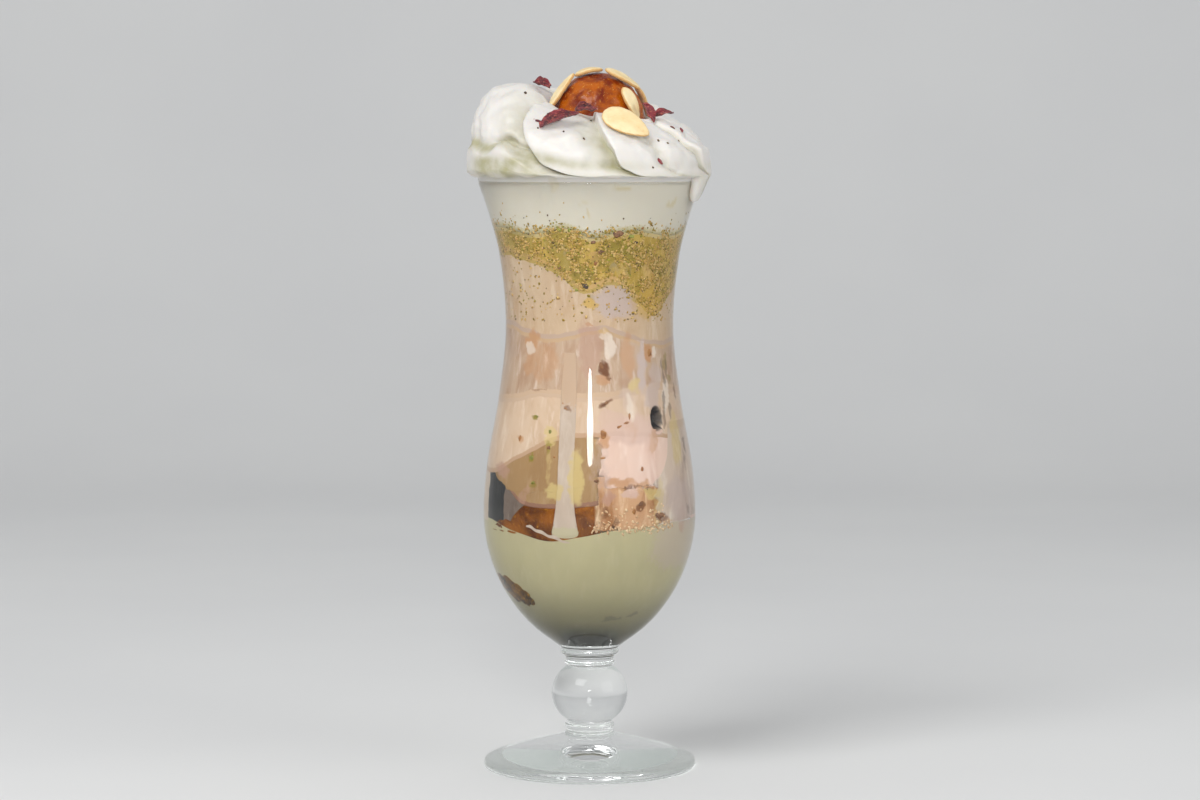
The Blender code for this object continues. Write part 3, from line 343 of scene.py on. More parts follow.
# Foods at the wall: colours of the food, its mottle, its pale streaks, its lower edge and its upper edge,
# then the strength of the mottle, the roughness and the bump
FOODS = {
    "melted_cream_base": ("#bab28e", "#b0a886", "#c2ba9a", "#bab28e", "#bdb09c", 0.4, 0.35, 0.04),
    "cream_run": ("#c2b1a2", "#b3a08f", "#cfc2b5", "#bcb396", "#c0a68e", 0.5, 0.35, 0.05),
    "cream_film": ("#ccb9a4", "#c0aa92", "#d8c9b7", "#ccb9a4", "#ccb9a4", 0.5, 0.4, 0.08),
    "cream_film_rear": ("#c0ae96", "#ac9a82", "#cdbfa9", "#aca587", "#c0ae96", 0.6, 0.4, 0.08),
    "cream_film_pale": ("#c9b6a6", "#b09a8c", "#d8ccbe", "#b9ab92", "#bfa78f", 1.0, 0.4, 0.1),
    # Painted shade: the dark film over the air space at the left.
    "pocket_shade": ("#383838", "#2c2c2c", "#4a4846", "#383838", "#383838", 0.7, 0.4, 0.05),
    # Partly its own grey-brown and partly painted shade beside the air space at the left.
    "pocket_haze_and_shade": ("#786a60", "#5d5048", "#94867a", "#85796e", "#786a60", 0.9, 0.4, 0.05),
    "tan_kulfi": ("#a4845c", "#93724c", "#b29674", "#926d5a", "#a4845c", 0.6, 0.5, 0.2),
    "pink_ice_cream": ("#dcc1b2", "#c8a595", "#e8d5ca", "#c19c7c", "#dcc1b2", 0.6, 0.5, 0.2),
    "sponge_cake": ("#c9a07c", "#9f7048", "#dcbf9e", "#ead5b4", "#c29474", 1.0, 0.85, 0.8),
    "lower_beige": ("#d0b8a0", "#bfa083", "#dccab8", "#bc9c80", "#c7ad96", 0.7, 0.5, 0.2),
    "streaked_beige": ("#bfa68f", "#a88468", "#d2c0b0", "#c7ac92", "#c3a686", 0.9, 0.5, 0.2),
    "upper_beige": ("#c9b195", "#b89878", "#d7c5b0", "#bda594", "#b79d5a", 0.7, 0.5, 0.2),
    "pistachio_bed": ("#c4a654", "#a5882f", "#d6ba74", "#c8a56e", "#c9b684", 0.9, 0.75, 0.9),
}

# Specks on the piped cream: kind, x, y, half width, half length and heading
TOP_SPECKS = [
    ("spice_speck", -10.9, -26.5, 0.35, 0.5, 20), ("spice_speck", -13.8, -27.5, 0.3, 0.6, 70),
    ("spice_speck", -17.3, -34.0, 0.3, 0.4, 0), ("spice_speck", -8.6, -36.0, 0.35, 0.45, 30),
    ("spice_speck", -1.8, -36.2, 0.4, 0.5, 10), ("spice_speck", 0.6, -25.6, 0.3, 0.4, 50),
    ("spice_speck", 23.4, -31.0, 0.35, 0.5, 15), ("spice_speck", 26.6, -30.6, 0.35, 0.45, 70),
    ("spice_speck", 21.5, -36.5, 0.3, 0.4, 40), ("spice_speck", 30.4, -22.0, 0.3, 0.4, 0),
    ("spice_speck", -22.0, -12.0, 0.5, 0.6, 0),
    ("petal_scrap", 24.0, -33.0, 1.0, 1.2, 35), ("petal_scrap", -17.2, -30.8, 0.6, 1.2, 60),
    ("petal_scrap", 31.6, -15.0, 0.5, 1.8, -40), ("petal_scrap", 28.5, -17.0, 0.4, 1.0, 20),
]

# The room: the camera of the photograph in metres, millimetres and degrees, and the light of the sky
CAMERA_PLACE = (0.00367, -1.154, 0.218)
CAMERA_TILT = 85.6
CAMERA_LENS = 99.18
CAMERA_SENSOR = 36.0
SKY_COLOR = (0.95, 0.97, 1.0, 1.0)
SKY_STRENGTH = 0.45

# The floor, which bends up into the backdrop: its reach, the radius of the bend and its top, in metres
FLOOR_FRONT = -1.6
FLOOR_BACK = 0.9
FLOOR_SIDE = 2.6
FLOOR_BEND = 0.5
BACKDROP_TOP = 2.4

# Lights: name, place, width, height, power and the point that they face, in metres and watts
LIGHTS = [
    ("key_softbox", (-0.62, -0.80, 1.15), 0.7, 0.7, 10.4, (0.0, 0.0, 0.15)),
    ("fill_softbox", (1.1, -0.6, 0.6), 0.9, 0.9, 4.1, (0.0, 0.0, 0.12)),
    ("strip_light", (0.02, -1.35, 0.5), 0.17, 0.26, 4.0, (0.0, 0.0, 0.14)),
]


def tone(text):
    """The scene-linear colour of a hex sRGB text."""
    parts = [int(text[i:i + 2], 16) / 255 for i in (1, 3, 5)]
    return tuple(c / 12.92 if c <= 0.04045 else ((c + 0.055) / 1.055) ** 2.4 for c in parts)


def through(stations):
    """A smooth curve through stations (x, y), which are sorted by x. It takes a number or an array."""
    xs = np.array([x for x, _ in stations], float)
    ys = np.array([y for _, y in stations], float)
    low = np.maximum(np.arange(len(xs)) - 1, 0)
    high = np.minimum(np.arange(len(xs)) + 1, len(xs) - 1)
    slopes = (ys[high] - ys[low]) / (xs[high] - xs[low])

    def value(x):
        x = np.clip(x, xs[0], xs[-1])
        i = np.clip(np.searchsorted(xs, x, side="left") - 1, 0, len(xs) - 2)
        span = xs[i + 1] - xs[i]
        t = (x - xs[i]) / span
        rise = t * t * (3 - 2 * t)
        leave = t * (1 - t) * (1 - t) * span * slopes[i]
        arrive = t * t * (t - 1) * span * slopes[i + 1]
        return ys[i] * (1 - rise) + ys[i + 1] * rise + leave + arrive

    return value


def around(stations):
    """A smooth curve through stations (angle, y) that closes after a full turn."""
    before = [(angle - TURN, y) for angle, y in stations[-2:]]
    after = [(angle + TURN, y) for angle, y in stations[:2]]
    curve = through(before + stations + after)
    first = stations[0][0]
    return lambda angle: curve((angle - first) % TURN + first)


def blend(a, b, t):
    """The value at a share t of the way from a to b."""
    return a + (b - a) * t


def smooth_step(low, high, x):
    """Rises softly from 0 at low to 1 at high. Low may be the larger of the two."""
    t = np.clip((x - low) / (high - low), 0.0, 1.0)
    return t * t * (3 - 2 * t)


def polar(radius, angle, height):
    """A point from its distance from the axis, its angle in degrees and its height."""
    return Vector((radius * math.cos(math.radians(angle)), radius * math.sin(math.radians(angle)), height))


outer_radius = through(BOWL_STATIONS)


def wall_section(height):
    """The point of the bowl's outer side at a height, and the inner point straight across the wall."""
    step = 0.5
    slope = (outer_radius(height + step) - outer_radius(height - step)) / (2 * step)
    length = math.hypot(1.0, slope)
    radius = float(outer_radius(height))
    return (radius, height), (radius - WALL / length, height + WALL * slope / length)


def bowl_heights(count):
    """Heights from the rim down to the collar, closer together where the bowl turns in."""
    top = GLASS_HEIGHT - WALL / 2
    low = BOWL_STATIONS[0][0]
    return [low + (top - low) * (1 - i / (count - 1)) ** 1.35 for i in range(count)]


def inner_section(count):
    """The inner side of the bowl from the rim to the middle of its floor."""
    points = [wall_section(height)[1] for height in bowl_heights(count)]
    points = [(radius, height) for radius, height in points if radius > FLOOR_ARC_RADIUS]
    edge_radius, edge_height = points[-1]
    drop = edge_height - BOWL_FLOOR
    for i in range(1, 9):
        turn = math.pi / 2 * (i / 8)
        points.append((edge_radius * math.cos(turn), edge_height - drop * math.sin(turn)))
    return points


INNER = np.array(inner_section(90)[::-1])
inner_radius = lambda height: np.interp(height, INNER[:, 1], INNER[:, 0])


def lumps(point, size, height, seed=0.0):
    """Soft bumps of a given size and height, the same on every run."""
    return height * noise.noise(Vector(point) / size + Vector((seed, seed * 1.7, -seed)))


def field(points, size, seed=0.0):
    """Soft noise between about -1 and 1 at each point of an array."""
    shift = Vector((seed, seed * 1.7, -seed))
    return np.array([noise.noise(Vector(point) / size + shift) for point in points])


def vertex_array(data):
    """The vertices of a mesh as an array, in millimetres."""
    co = np.empty(len(data.vertices) * 3)
    data.vertices.foreach_get("co", co)
    return co.reshape(-1, 3) / MM


def set_vertices(data, points):
    """Moves the vertices of a mesh to points in millimetres."""
    data.vertices.foreach_set("co", (points * MM).astype(np.float32).ravel())
    data.update()


def normal_array(data):
    """The directions that the vertices of a mesh face."""
    normals = np.empty(len(data.vertices) * 3)
    data.vertices.foreach_get("normal", normals)
    return normals.reshape(-1, 3)


def round_the_axis(points):
    """The angle in degrees and the distance from the axis of each point of an array."""
    return np.degrees(np.arctan2(points[:, 1], points[:, 0])), np.hypot(points[:, 0], points[:, 1])


def set_mask(data, name, values):
    """Stores a value for each vertex, which the materials read by its name."""
    attribute = data.attributes.get(name) or data.attributes.new(name, "FLOAT", "POINT")
    attribute.data.foreach_set("value", np.asarray(values, np.float32))


def finish_piece(name, data, material, nodes=(), sharp=None):
    """Puts a finished mesh in the scene as a piece of the object. Edges past the sharp angle stay crisp."""
    data.name = name
    data.materials.clear()
    data.materials.append(material)
    for polygon in data.polygons:
        polygon.use_smooth = True
        polygon.material_index = 0
    if sharp:
        data.set_sharp_from_angle(angle=math.radians(sharp))
    piece = bpy.data.objects.new(name, data)
    bpy.context.scene.collection.objects.link(piece)
    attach(piece, BODY)
    if nodes:
        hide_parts(*nodes)
    return piece


def mesh_from(bm, scale=MM):
    """Turns a bmesh in millimetres into a mesh in metres with its faces pointing out."""
    bmesh.ops.recalc_face_normals(bm, faces=bm.faces)
    bmesh.ops.scale(bm, vec=(scale,) * 3, verts=bm.verts)
    data = bpy.data.meshes.new("shape")
    bm.to_mesh(data)
    bm.free()
    return data


def evaluated(obj):
    """The mesh of an object with its modifiers applied. The object itself is removed."""
    bpy.context.view_layer.update()
    graph = bpy.context.evaluated_depsgraph_get()
    data = bpy.data.meshes.new_from_object(obj.evaluated_get(graph))
    bpy.data.objects.remove(obj)
    return data


def helper_object(data):
    """Puts a mesh in the scene for its modifiers. It is removed again when they are applied."""
    helper = bpy.data.objects.new("helper", data)
    bpy.context.scene.collection.objects.link(helper)
    return helper


def turned(points, steps):
    """A closed turned mesh from an outline (radius, height) that starts and ends on the axis."""
    bm = bmesh.new()
    vertices = [bm.verts.new((radius, 0.0, height)) for radius, height in points]
    for a, b in zip(vertices, vertices[1:]):
        bm.edges.new((a, b))
    outline = bpy.data.meshes.new("outline")
    bmesh.ops.scale(bm, vec=(MM,) * 3, verts=bm.verts)
    bm.to_mesh(outline)
    bm.free()
    helper = helper_object(outline)
    screw = helper.modifiers.new("turn", "SCREW")
    screw.axis = "Z"
    screw.steps = steps
    screw.render_steps = steps
    screw.use_merge_vertices = True
    screw.merge_threshold = 0.00002
    data = evaluated(helper)
    bm = bmesh.new()
    bm.from_mesh(data)
    bmesh.ops.scale(bm, vec=(1 / MM,) * 3, verts=bm.verts)
    return mesh_from(bm)


def merged_copy(node):
    """A copy of a CAD node's mesh with its loose triangles joined."""
    bm = bmesh.new()
    bm.from_mesh(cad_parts[node].data)
    bmesh.ops.remove_doubles(bm, verts=bm.verts, dist=0.000002)
    data = bpy.data.meshes.new("copy")
    bm.to_mesh(data)
    bm.free()
    return data


def even_copy(node, pitch):
    """A copy of a CAD node's solid with evenly small faces."""
    helper = helper_object(merged_copy(node))
    remesh = helper.modifiers.new("even", "REMESH")
    remesh.mode = "VOXEL"
    remesh.voxel_size = pitch * MM
    return evaluated(helper)


def smoothed_copy(node, levels):
    """A copy of a CAD node's solid, rounded by subdivision."""
    helper = helper_object(merged_copy(node))
    rounding = helper.modifiers.new("round", "SUBSURF")
    rounding.levels = levels
    rounding.render_levels = levels
    return evaluated(helper)


def wrapped_sphere(columns, rings, place):
    """A closed skin: a UV sphere whose vertices move to place(column, ring). Ring 0 is the top pole."""
    bm = bmesh.new()
    bmesh.ops.create_uvsphere(bm, u_segments=columns, v_segments=rings, radius=1.0)
    step = 2 * math.pi / columns
    for vertex in bm.verts:
        ring = round(math.acos(min(max(vertex.co.z, -1.0), 1.0)) / math.pi * rings)
        column = round((math.atan2(vertex.co.y, vertex.co.x) - math.pi / 2) / step) % columns
        vertex.co = place(column, ring)
    return mesh_from(bm)


def patch_masks(points):
    """How strongly each kind of wall patch shows at each point: arrays between 0 and 1, by kind."""
    warp = [field(points, 3.2, seed) * 1.6 + field(points, 1.1, seed + 20.0) * 0.7 for seed in (3.0, 9.0)]
    angles, radii = round_the_axis(points)
    near_wall = smooth_step(3.0, 1.2, inner_radius(points[:, 2]) - radii)
    masks = {kind: np.zeros(len(points)) for kind in PATCH_TONES}
    for kind, patches in WALL_PATCHES.items():
        for angle, height, half_width, half_height, lean, strength in patches:
            across = np.radians((angles - angle + 180.0) % 360.0 - 180.0) * radii
            up = points[:, 2] - height
            close = (np.abs(across) < 3 * half_width + 8) & (np.abs(up) < 3 * half_height + 8)
            turn = math.radians(lean)
            soft = min(1.0, 0.5 + 0.25 * min(half_width, half_height))
            a = across[close] + warp[0][close] * soft
            b = up[close] + warp[1][close] * soft
            along = a * math.cos(turn) + b * math.sin(turn)
            rise = b * math.cos(turn) - a * math.sin(turn)
            away = np.sqrt((along / half_width) ** 2 + (rise / half_height) ** 2)
            shown = strength * smooth_step(1.35, 0.75, away) * near_wall[close]
            masks[kind][close] = np.maximum(masks[kind][close], shown)
    return masks


def paint_patches(data):
    """Stores the wall patches on a mesh, as one mask for each kind."""
    for kind, values in patch_masks(vertex_array(data)).items():
        set_mask(data, kind, values)


def feed(tree, node, values):
    """Gives a node's sockets numbers, colours or links, by name or place."""
    for name, value in values.items():
        if isinstance(value, bpy.types.NodeSocket):
            tree.links.new(value, node.inputs[name])
        else:
            node.inputs[name].default_value = (*value, 1.0) if isinstance(value, tuple) else value
    return node


def new_group(name, colors, numbers):
    """An empty shader group with colours and numbers as inputs, and with a colour and a height as outputs."""
    group = bpy.data.node_groups.new(name, "ShaderNodeTree")
    sockets = [(name, "INPUT", "NodeSocketColor") for name in colors]
    sockets += [(name, "INPUT", "NodeSocketFloat") for name in numbers]
    sockets += [("Color", "OUTPUT", "NodeSocketColor"), ("Height", "OUTPUT", "NodeSocketFloat")]
    for socket, side, kind in sockets:
        group.interface.new_socket(name=socket, in_out=side, socket_type=kind)
    return group, group.nodes.new("NodeGroupInput").outputs, group.nodes.new("NodeGroupOutput")


def add_noise(tree, coordinates, scale, detail=4.0, roughness=0.55, distortion=0.0):
    """Soft noise between 0 and 1. The scale is how many waves fit in a metre."""
    node = feed(tree, tree.nodes.new("ShaderNodeTexNoise"), {
        "Scale": scale, "Detail": detail, "Roughness": roughness, "Distortion": distortion,
        "Vector": coordinates,
    })
    return node.outputs["Fac"]


def add_range(tree, value, low, high, to_low=0.0, to_high=1.0):
    """Softly brings a value from one range to another."""
    node = tree.nodes.new("ShaderNodeMapRange")
    node.interpolation_type = "SMOOTHSTEP"
    feed(tree, node, {"Value": value, "From Min": low, "From Max": high, "To Min": to_low, "To Max": to_high})
    return node.outputs["Result"]


def add_math(tree, operation, a, b):
    """One step of reckoning with two values."""
    node = tree.nodes.new("ShaderNodeMath")
    node.operation = operation
    return feed(tree, node, {0: a, 1: b}).outputs["Value"]


def times(tree, value, factor):
    """A value multiplied by a number or by another value."""
    return add_math(tree, "MULTIPLY", value, factor)


def add_up(tree, first, *parts):
    """Adds values to the first one. Each is a socket and its weight."""
    for value, weight in parts:
        first = add_math(tree, "ADD", first, times(tree, value, weight))
    return first


def add_mix(tree, factor, a, b):
    """Colour a, which gives way to colour b where the factor is high."""
    node = tree.nodes.new("ShaderNodeMix")
    node.data_type = "RGBA"
    return feed(tree, node, {0: factor, 6: a, 7: b}).outputs[2]


def add_attribute(tree, name):
    """A mask that the mesh holds, as a value."""
    node = tree.nodes.new("ShaderNodeAttribute")
    node.attribute_name = name
    return node.outputs["Fac"]


def object_coordinates(tree, stretch=(1.0, 1.0, 1.0)):
    """Places on the object. A low number in the stretch draws a pattern out along that axis."""
    source = tree.nodes.new("ShaderNodeTexCoord")
    mapping = tree.nodes.new("ShaderNodeMapping")
    mapping.inputs["Scale"].default_value = stretch
    tree.links.new(source.outputs["Object"], mapping.inputs["Vector"])
    return mapping.outputs["Vector"]


def marbling_group():
    """Shared effect: the patches at the wall and a soft mottle over a food's own colour."""
    colors = ("Color", "Mottle Color", "Streak Color", "Low Color", "Top Color")
    group, given, end = new_group("wall_marbling", colors, ["Mottle"])
    tall = object_coordinates(group, (1.0, 1.0, 0.35))
    coarse = add_noise(group, tall, 110.0, 5.0, 0.6, 0.6)
    streaks = add_noise(group, object_coordinates(group, (1.0, 1.0, 0.22)), 330.0, 4.0, 0.6, 0.3)
    fine = add_noise(group, object_coordinates(group), 1100.0, 4.0, 0.65)
    dark = times(group, add_range(group, coarse, 0.42, 0.7), given["Mottle"])
    shown = add_mix(group, dark, given["Color"], given["Mottle Color"])
    pale = times(group, add_range(group, streaks, 0.5, 0.7), given["Mottle"])
    shown = add_mix(group, pale, shown, given["Streak Color"])
    for mask, color in (("low_blend", "Low Color"), ("top_blend", "Top Color")):
        level = add_up(group, add_attribute(group, mask), (fine, 0.5), (coarse, 0.5))
        shown = add_mix(group, add_range(group, level, 0.9, 1.12), shown, given[color])
    middle = add_noise(group, tall, 480.0, 3.0, 0.6, 0.4)
    ragged = add_up(group, times(group, fine, 0.5), (middle, 1.1))
    for kind, color in PATCH_TONES.items():
        strength = add_attribute(group, kind)
        edge = add_range(group, add_math(group, "ADD", strength, ragged), 0.88, 1.3)
        shown = add_mix(group, times(group, edge, strength), shown, tone(color))
    height = add_up(group, times(group, coarse, 0.7), (fine, 0.3))
    feed(group, end, {"Color": shown, "Height": height})


def speckle_group():
    """Shared effect: fine specks of another colour over a food's own colour."""
    group, given, end = new_group("fine_specks", ("Color", "Speck Color"), ("Scale", "Share"))
    grain = add_noise(group, object_coordinates(group), given["Scale"], 3.0, 0.7)
    level = add_math(group, "ADD", grain, add_math(group, "SUBTRACT", given["Share"], 0.5))
    shown = add_mix(group, add_range(group, level, 0.46, 0.6), given["Color"], given["Speck Color"])
    feed(group, end, {"Color": shown, "Height": grain})


def new_material(name):
    """A new material, its node tree and its main shader."""
    material = bpy.data.materials.new(name)
    material.use_nodes = True
    return material, material.node_tree, material.node_tree.nodes["Principled BSDF"]


def place_group(tree, name, values):
    """Uses one of the shared effects."""
    node = tree.nodes.new("ShaderNodeGroup")
    node.node_tree = bpy.data.node_groups[name]
    return feed(tree, node, values)


def add_bump(tree, shader, height, strength, distance):
    """Fine relief on a surface. The distance is its height in millimetres."""
    bump = tree.nodes.new("ShaderNodeBump")
    feed(tree, bump, {"Height": height, "Strength": strength, "Distance": distance * MM})
    tree.links.new(bump.outputs["Normal"], shader.inputs["Normal"])


def soften(shader, weight, radius_mm):
    """Lets light soak into a food's surface."""
    shader.inputs["Subsurface Weight"].default_value = weight
    shader.inputs["Subsurface Radius"].default_value = (1.0, 0.75, 0.5)
    shader.inputs["Subsurface Scale"].default_value = radius_mm * MM


def wall_food(name, deep=()):
    """A food that is seen through the glass: its own colours, its neighbours' at its edges, and the patches.

    Deep holds pairs of an attribute and the hex colour that it fades to; the base cream uses them for painted
    shade towards the bottom of the bowl.
    """
    color, mottle_color, streak_color, low_color, top_color, mottle, roughness, bump = FOODS[name]
    material, tree, shader = new_material(name)
    marbled = place_group(tree, "wall_marbling", {
        "Color": tone(color), "Mottle": mottle, "Mottle Color": tone(mottle_color),
        "Streak Color": tone(streak_color), "Low Color": tone(low_color), "Top Color": tone(top_color),
    })
    shown = marbled.outputs["Color"]
    for mask, shade in deep:
        shown = add_mix(tree, add_attribute(tree, mask), shown, tone(shade))
    feed(tree, shader, {"Base Color": shown, "Roughness": roughness, "Specular IOR Level": 0.2})
    add_bump(tree, shader, marbled.outputs["Height"], bump, 0.5)
    soften(shader, 0.15, 2.0)
    return material


def glass_material():
    """Clear glass with faint smudges and waves, which lets light through to what it holds."""
    material, tree, shader = new_material("clear_glass")
    coordinates = object_coordinates(tree)
    feed(tree, shader, {
        "Base Color": (0.985, 0.995, 0.99), "Transmission Weight": 1.0, "IOR": 1.5,
        "Specular Tint": (0.5, 0.5, 0.5),
        "Roughness": add_range(tree, add_noise(tree, coordinates, 45.0, 4.0), 0.5, 0.75, 0.0, 0.035),
    })
    add_bump(tree, shader, add_noise(tree, coordinates, 30.0, 1.0), 0.04, 0.6)
    clear = feed(tree, tree.nodes.new("ShaderNodeBsdfTransparent"), {"Color": (0.93, 0.95, 0.94)})
    rays = tree.nodes.new("ShaderNodeLightPath").outputs
    passing = add_math(tree, "MAXIMUM", rays["Is Shadow Ray"],
                       add_math(tree, "GREATER_THAN", rays["Ray Depth"], 4.5))
    mix = feed(tree, tree.nodes.new("ShaderNodeMixShader"), {
        "Fac": passing, 1: shader.outputs["BSDF"], 2: clear.outputs["BSDF"],
    })
    tree.links.new(mix.outputs["Shader"], tree.nodes["Material Output"].inputs["Surface"])
    return material


def jamun_material(name, deep, amber, bright, wet, share):
    """Fried milk dough soaked in syrup: amber with darker patches, light specks and a wet coat."""
    material, tree, shader = new_material(name)
    coordinates = object_coordinates(tree)
    patches = add_range(tree, add_noise(tree, coordinates, 140.0, 5.0, 0.6, 0.4), 0.35, 0.65)
    grain = add_noise(tree, coordinates, 900.0, 5.0, 0.7)
    specked = place_group(tree, "fine_specks", {
        "Color": add_mix(tree, patches, deep, amber), "Speck Color": bright, "Scale": 1300.0, "Share": share,
    })
    feed(tree, shader, {
        "Base Color": specked.outputs["Color"], "Roughness": 0.42, "Specular IOR Level": 0.2,
        "Coat Weight": wet, "Coat Roughness": 0.14,
    })
    wrinkles = add_noise(tree, coordinates, 420.0, 4.0, 0.6)
    add_bump(tree, shader, add_up(tree, wrinkles, (grain, 0.35)), 0.55, 0.5)
    soften(shader, 0.12, 1.5)
    return material


def cream_material(color, fold_shade_color, plug_shade_color):
    """Whipped cream: white, with painted shade in its creases and under its coil, and with painted shade on
    the plug seen through the glass under the rim.
    """
    material, tree, shader = new_material("whipped_cream")
    coordinates = object_coordinates(tree)
    uneven = add_noise(tree, coordinates, 120.0, 4.0, 0.6)
    fine = add_noise(tree, coordinates, 1400.0, 3.0, 0.6)
    # Painted shade: the creases and the lower coil fade to the darker shade colour.
    fold_shade = times(tree, add_attribute(tree, "fold_shade"), add_range(tree, uneven, 0.3, 0.65, 0.5, 1.0))
    shown = add_mix(tree, fold_shade, color, fold_shade_color)
    # Painted shade on the plug, the cream under the rim seen through the glass.
    shown = add_mix(tree, add_attribute(tree, "plug"), shown, plug_shade_color)
    grainy = add_up(tree, add_attribute(tree, "low_blend"), (fine, 0.8))
    shown = add_mix(tree, add_range(tree, grainy, 0.95, 1.3, 0.0, 0.8), shown, tone("#c3b88a"))
    for kind in ("smear", "yellow", "lilac"):
        shown = add_mix(tree, add_attribute(tree, kind), shown, tone(PATCH_TONES[kind]))
    feed(tree, shader, {"Base Color": shown, "Roughness": 0.42})
    add_bump(tree, shader, add_up(tree, times(tree, uneven, 0.8), (fine, 0.25)), 0.22, 0.5)
    soften(shader, 0.3, 3.0)
    return material


def almond_material(pale, golden, edge):
    """Sliced almond: pale flesh with faint fibres, golden towards its rim."""
    material, tree, shader = new_material("sliced_almond")
    fibres = add_noise(tree, object_coordinates(tree, (1.0, 2.5, 1.0)), 500.0, 5.0, 0.65)
    clouds = add_range(tree, add_noise(tree, object_coordinates(tree), 160.0, 3.0), 0.35, 0.7)
    color = add_mix(tree, clouds, pale, golden)
    color = add_mix(tree, add_attribute(tree, "rim"), color, edge)
    color = add_mix(tree, add_range(tree, fibres, 0.55, 0.75, 0.0, 0.35), color, edge)
    feed(tree, shader, {"Base Color": color, "Roughness": 0.55})
    add_bump(tree, shader, fibres, 0.25, 0.3)
    soften(shader, 0.2, 1.5)
    return material


def petal_material(dark, red, pale):
    """Dried rose petal: wine red with nearly black patches, and paler along its veins."""
    material, tree, shader = new_material("dried_rose")
    patches = add_range(tree, add_noise(tree, object_coordinates(tree), 260.0, 5.0, 0.65), 0.35, 0.62)
    veins = add_noise(tree, object_coordinates(tree, (1.0, 3.0, 3.0)), 700.0, 4.0, 0.6)
    color = add_mix(tree, patches, dark, red)
    color = add_mix(tree, add_range(tree, veins, 0.5, 0.66, 0.0, 0.75), color, pale)
    feed(tree, shader, {"Base Color": color, "Roughness": 0.6, "Sheen Weight": 0.2})
    add_bump(tree, shader, veins, 0.5, 0.4)
    return material


def bit_material(name, first, second, roughness=0.6, coat=0.0):
    """Small crumbs and nut pieces whose colour changes from piece to piece, as hex sRGB."""
    material, tree, shader = new_material(name)
    changes = add_range(tree, add_noise(tree, object_coordinates(tree), 650.0, 2.0), 0.38, 0.62)
    specked = place_group(tree, "fine_specks", {
        "Color": add_mix(tree, changes, tone(first), tone(second)),
        "Speck Color": tuple(0.45 * c for c in tone(first)), "Scale": 3000.0, "Share": 0.3,
    })
    feed(tree, shader, {"Base Color": specked.outputs["Color"], "Roughness": roughness, "Coat Weight": coat})
    add_bump(tree, shader, specked.outputs["Height"], 0.3, 0.2)
    return material


def scatter_tree():
    """Geometry Nodes: small lumpy pieces scattered over a surface where its mask is strong."""
    tree = bpy.data.node_groups.new("scattered_bits", "GeometryNodeTree")
    kinds = {"Geometry": "Geometry", "Seed": "Int", "Material": "Material"}
    for name in ("Geometry", "Density", "Mask", "Smallest", "Largest", "Flatness", "Seed", "Material"):
        kind = "NodeSocket" + kinds.get(name, "Float")
        tree.interface.new_socket(name=name, in_out="INPUT", socket_type=kind)
    tree.interface.new_socket(name="Geometry", in_out="OUTPUT", socket_type="NodeSocketGeometry")
    given = tree.nodes.new("NodeGroupInput").outputs

    def make(kind, inputs, **settings):
        """Adds a node with its settings and inputs, and gives its outputs."""
        node = tree.nodes.new(kind)
        for name, value in settings.items():
            setattr(node, name, value)
        for name, value in inputs.items():
            if isinstance(value, bpy.types.NodeSocket):
                tree.links.new(value, node.inputs[name])
            else:
                node.inputs[name].default_value = value
        return node.outputs

    density = make("ShaderNodeMath", {0: given["Density"], 1: given["Mask"]}, operation="MULTIPLY")
    spread = make("GeometryNodeDistributePointsOnFaces",
                  {"Mesh": given["Geometry"], "Density": density[0], "Seed": given["Seed"]})
    lump = make("GeometryNodeMeshIcoSphere", {"Radius": 1.0, "Subdivisions": 1})
    size = make("FunctionNodeRandomValue", {2: given["Smallest"], 3: given["Largest"], "Seed": given["Seed"]},
                data_type="FLOAT")
    shape = make("FunctionNodeRandomValue", {0: (0.6, 0.6, 0.5), 1: (1.3, 1.0, 0.9)},
                 data_type="FLOAT_VECTOR")
    scale = make("ShaderNodeVectorMath", {0: shape[0], "Scale": size[1]}, operation="SCALE")
    flat = make("ShaderNodeCombineXYZ", {0: 1.0, 1: 1.0, 2: given["Flatness"]})
    flattened = make("ShaderNodeVectorMath", {0: scale[0], 1: flat[0]}, operation="MULTIPLY")
    spin = make("FunctionNodeRandomValue", {2: 0.0, 3: 2 * math.pi}, data_type="FLOAT")
    turn = make("FunctionNodeEulerToRotation", {0: make("ShaderNodeCombineXYZ", {2: spin[1]})[0]})
    rotate = make("FunctionNodeRotateRotation", {0: spread["Rotation"], 1: turn[0]}, rotation_space="LOCAL")
    place = make("GeometryNodeInstanceOnPoints", {
        "Points": spread["Points"], "Instance": lump["Mesh"], "Rotation": rotate[0], "Scale": flattened[0],
    })
    realize = make("GeometryNodeRealizeInstances", {0: place["Instances"]})
    position = make("GeometryNodeInputPosition", {})
    rough = make("ShaderNodeTexNoise", {"Scale": 1500.0, "Detail": 1.0, "Vector": position[0]})
    centred = make("ShaderNodeVectorMath", {0: rough["Color"], 1: (0.5, 0.5, 0.5)}, operation="SUBTRACT")
    push = make("ShaderNodeVectorMath", {0: centred[0], "Scale": given["Largest"]}, operation="SCALE")
    crumple = make("GeometryNodeSetPosition", {"Geometry": realize[0], "Offset": push[0]})
    paint = make("GeometryNodeSetMaterial", {"Geometry": crumple[0], "Material": given["Material"]})
    tree.links.new(paint[0], tree.nodes.new("NodeGroupOutput").inputs[0])
    return tree


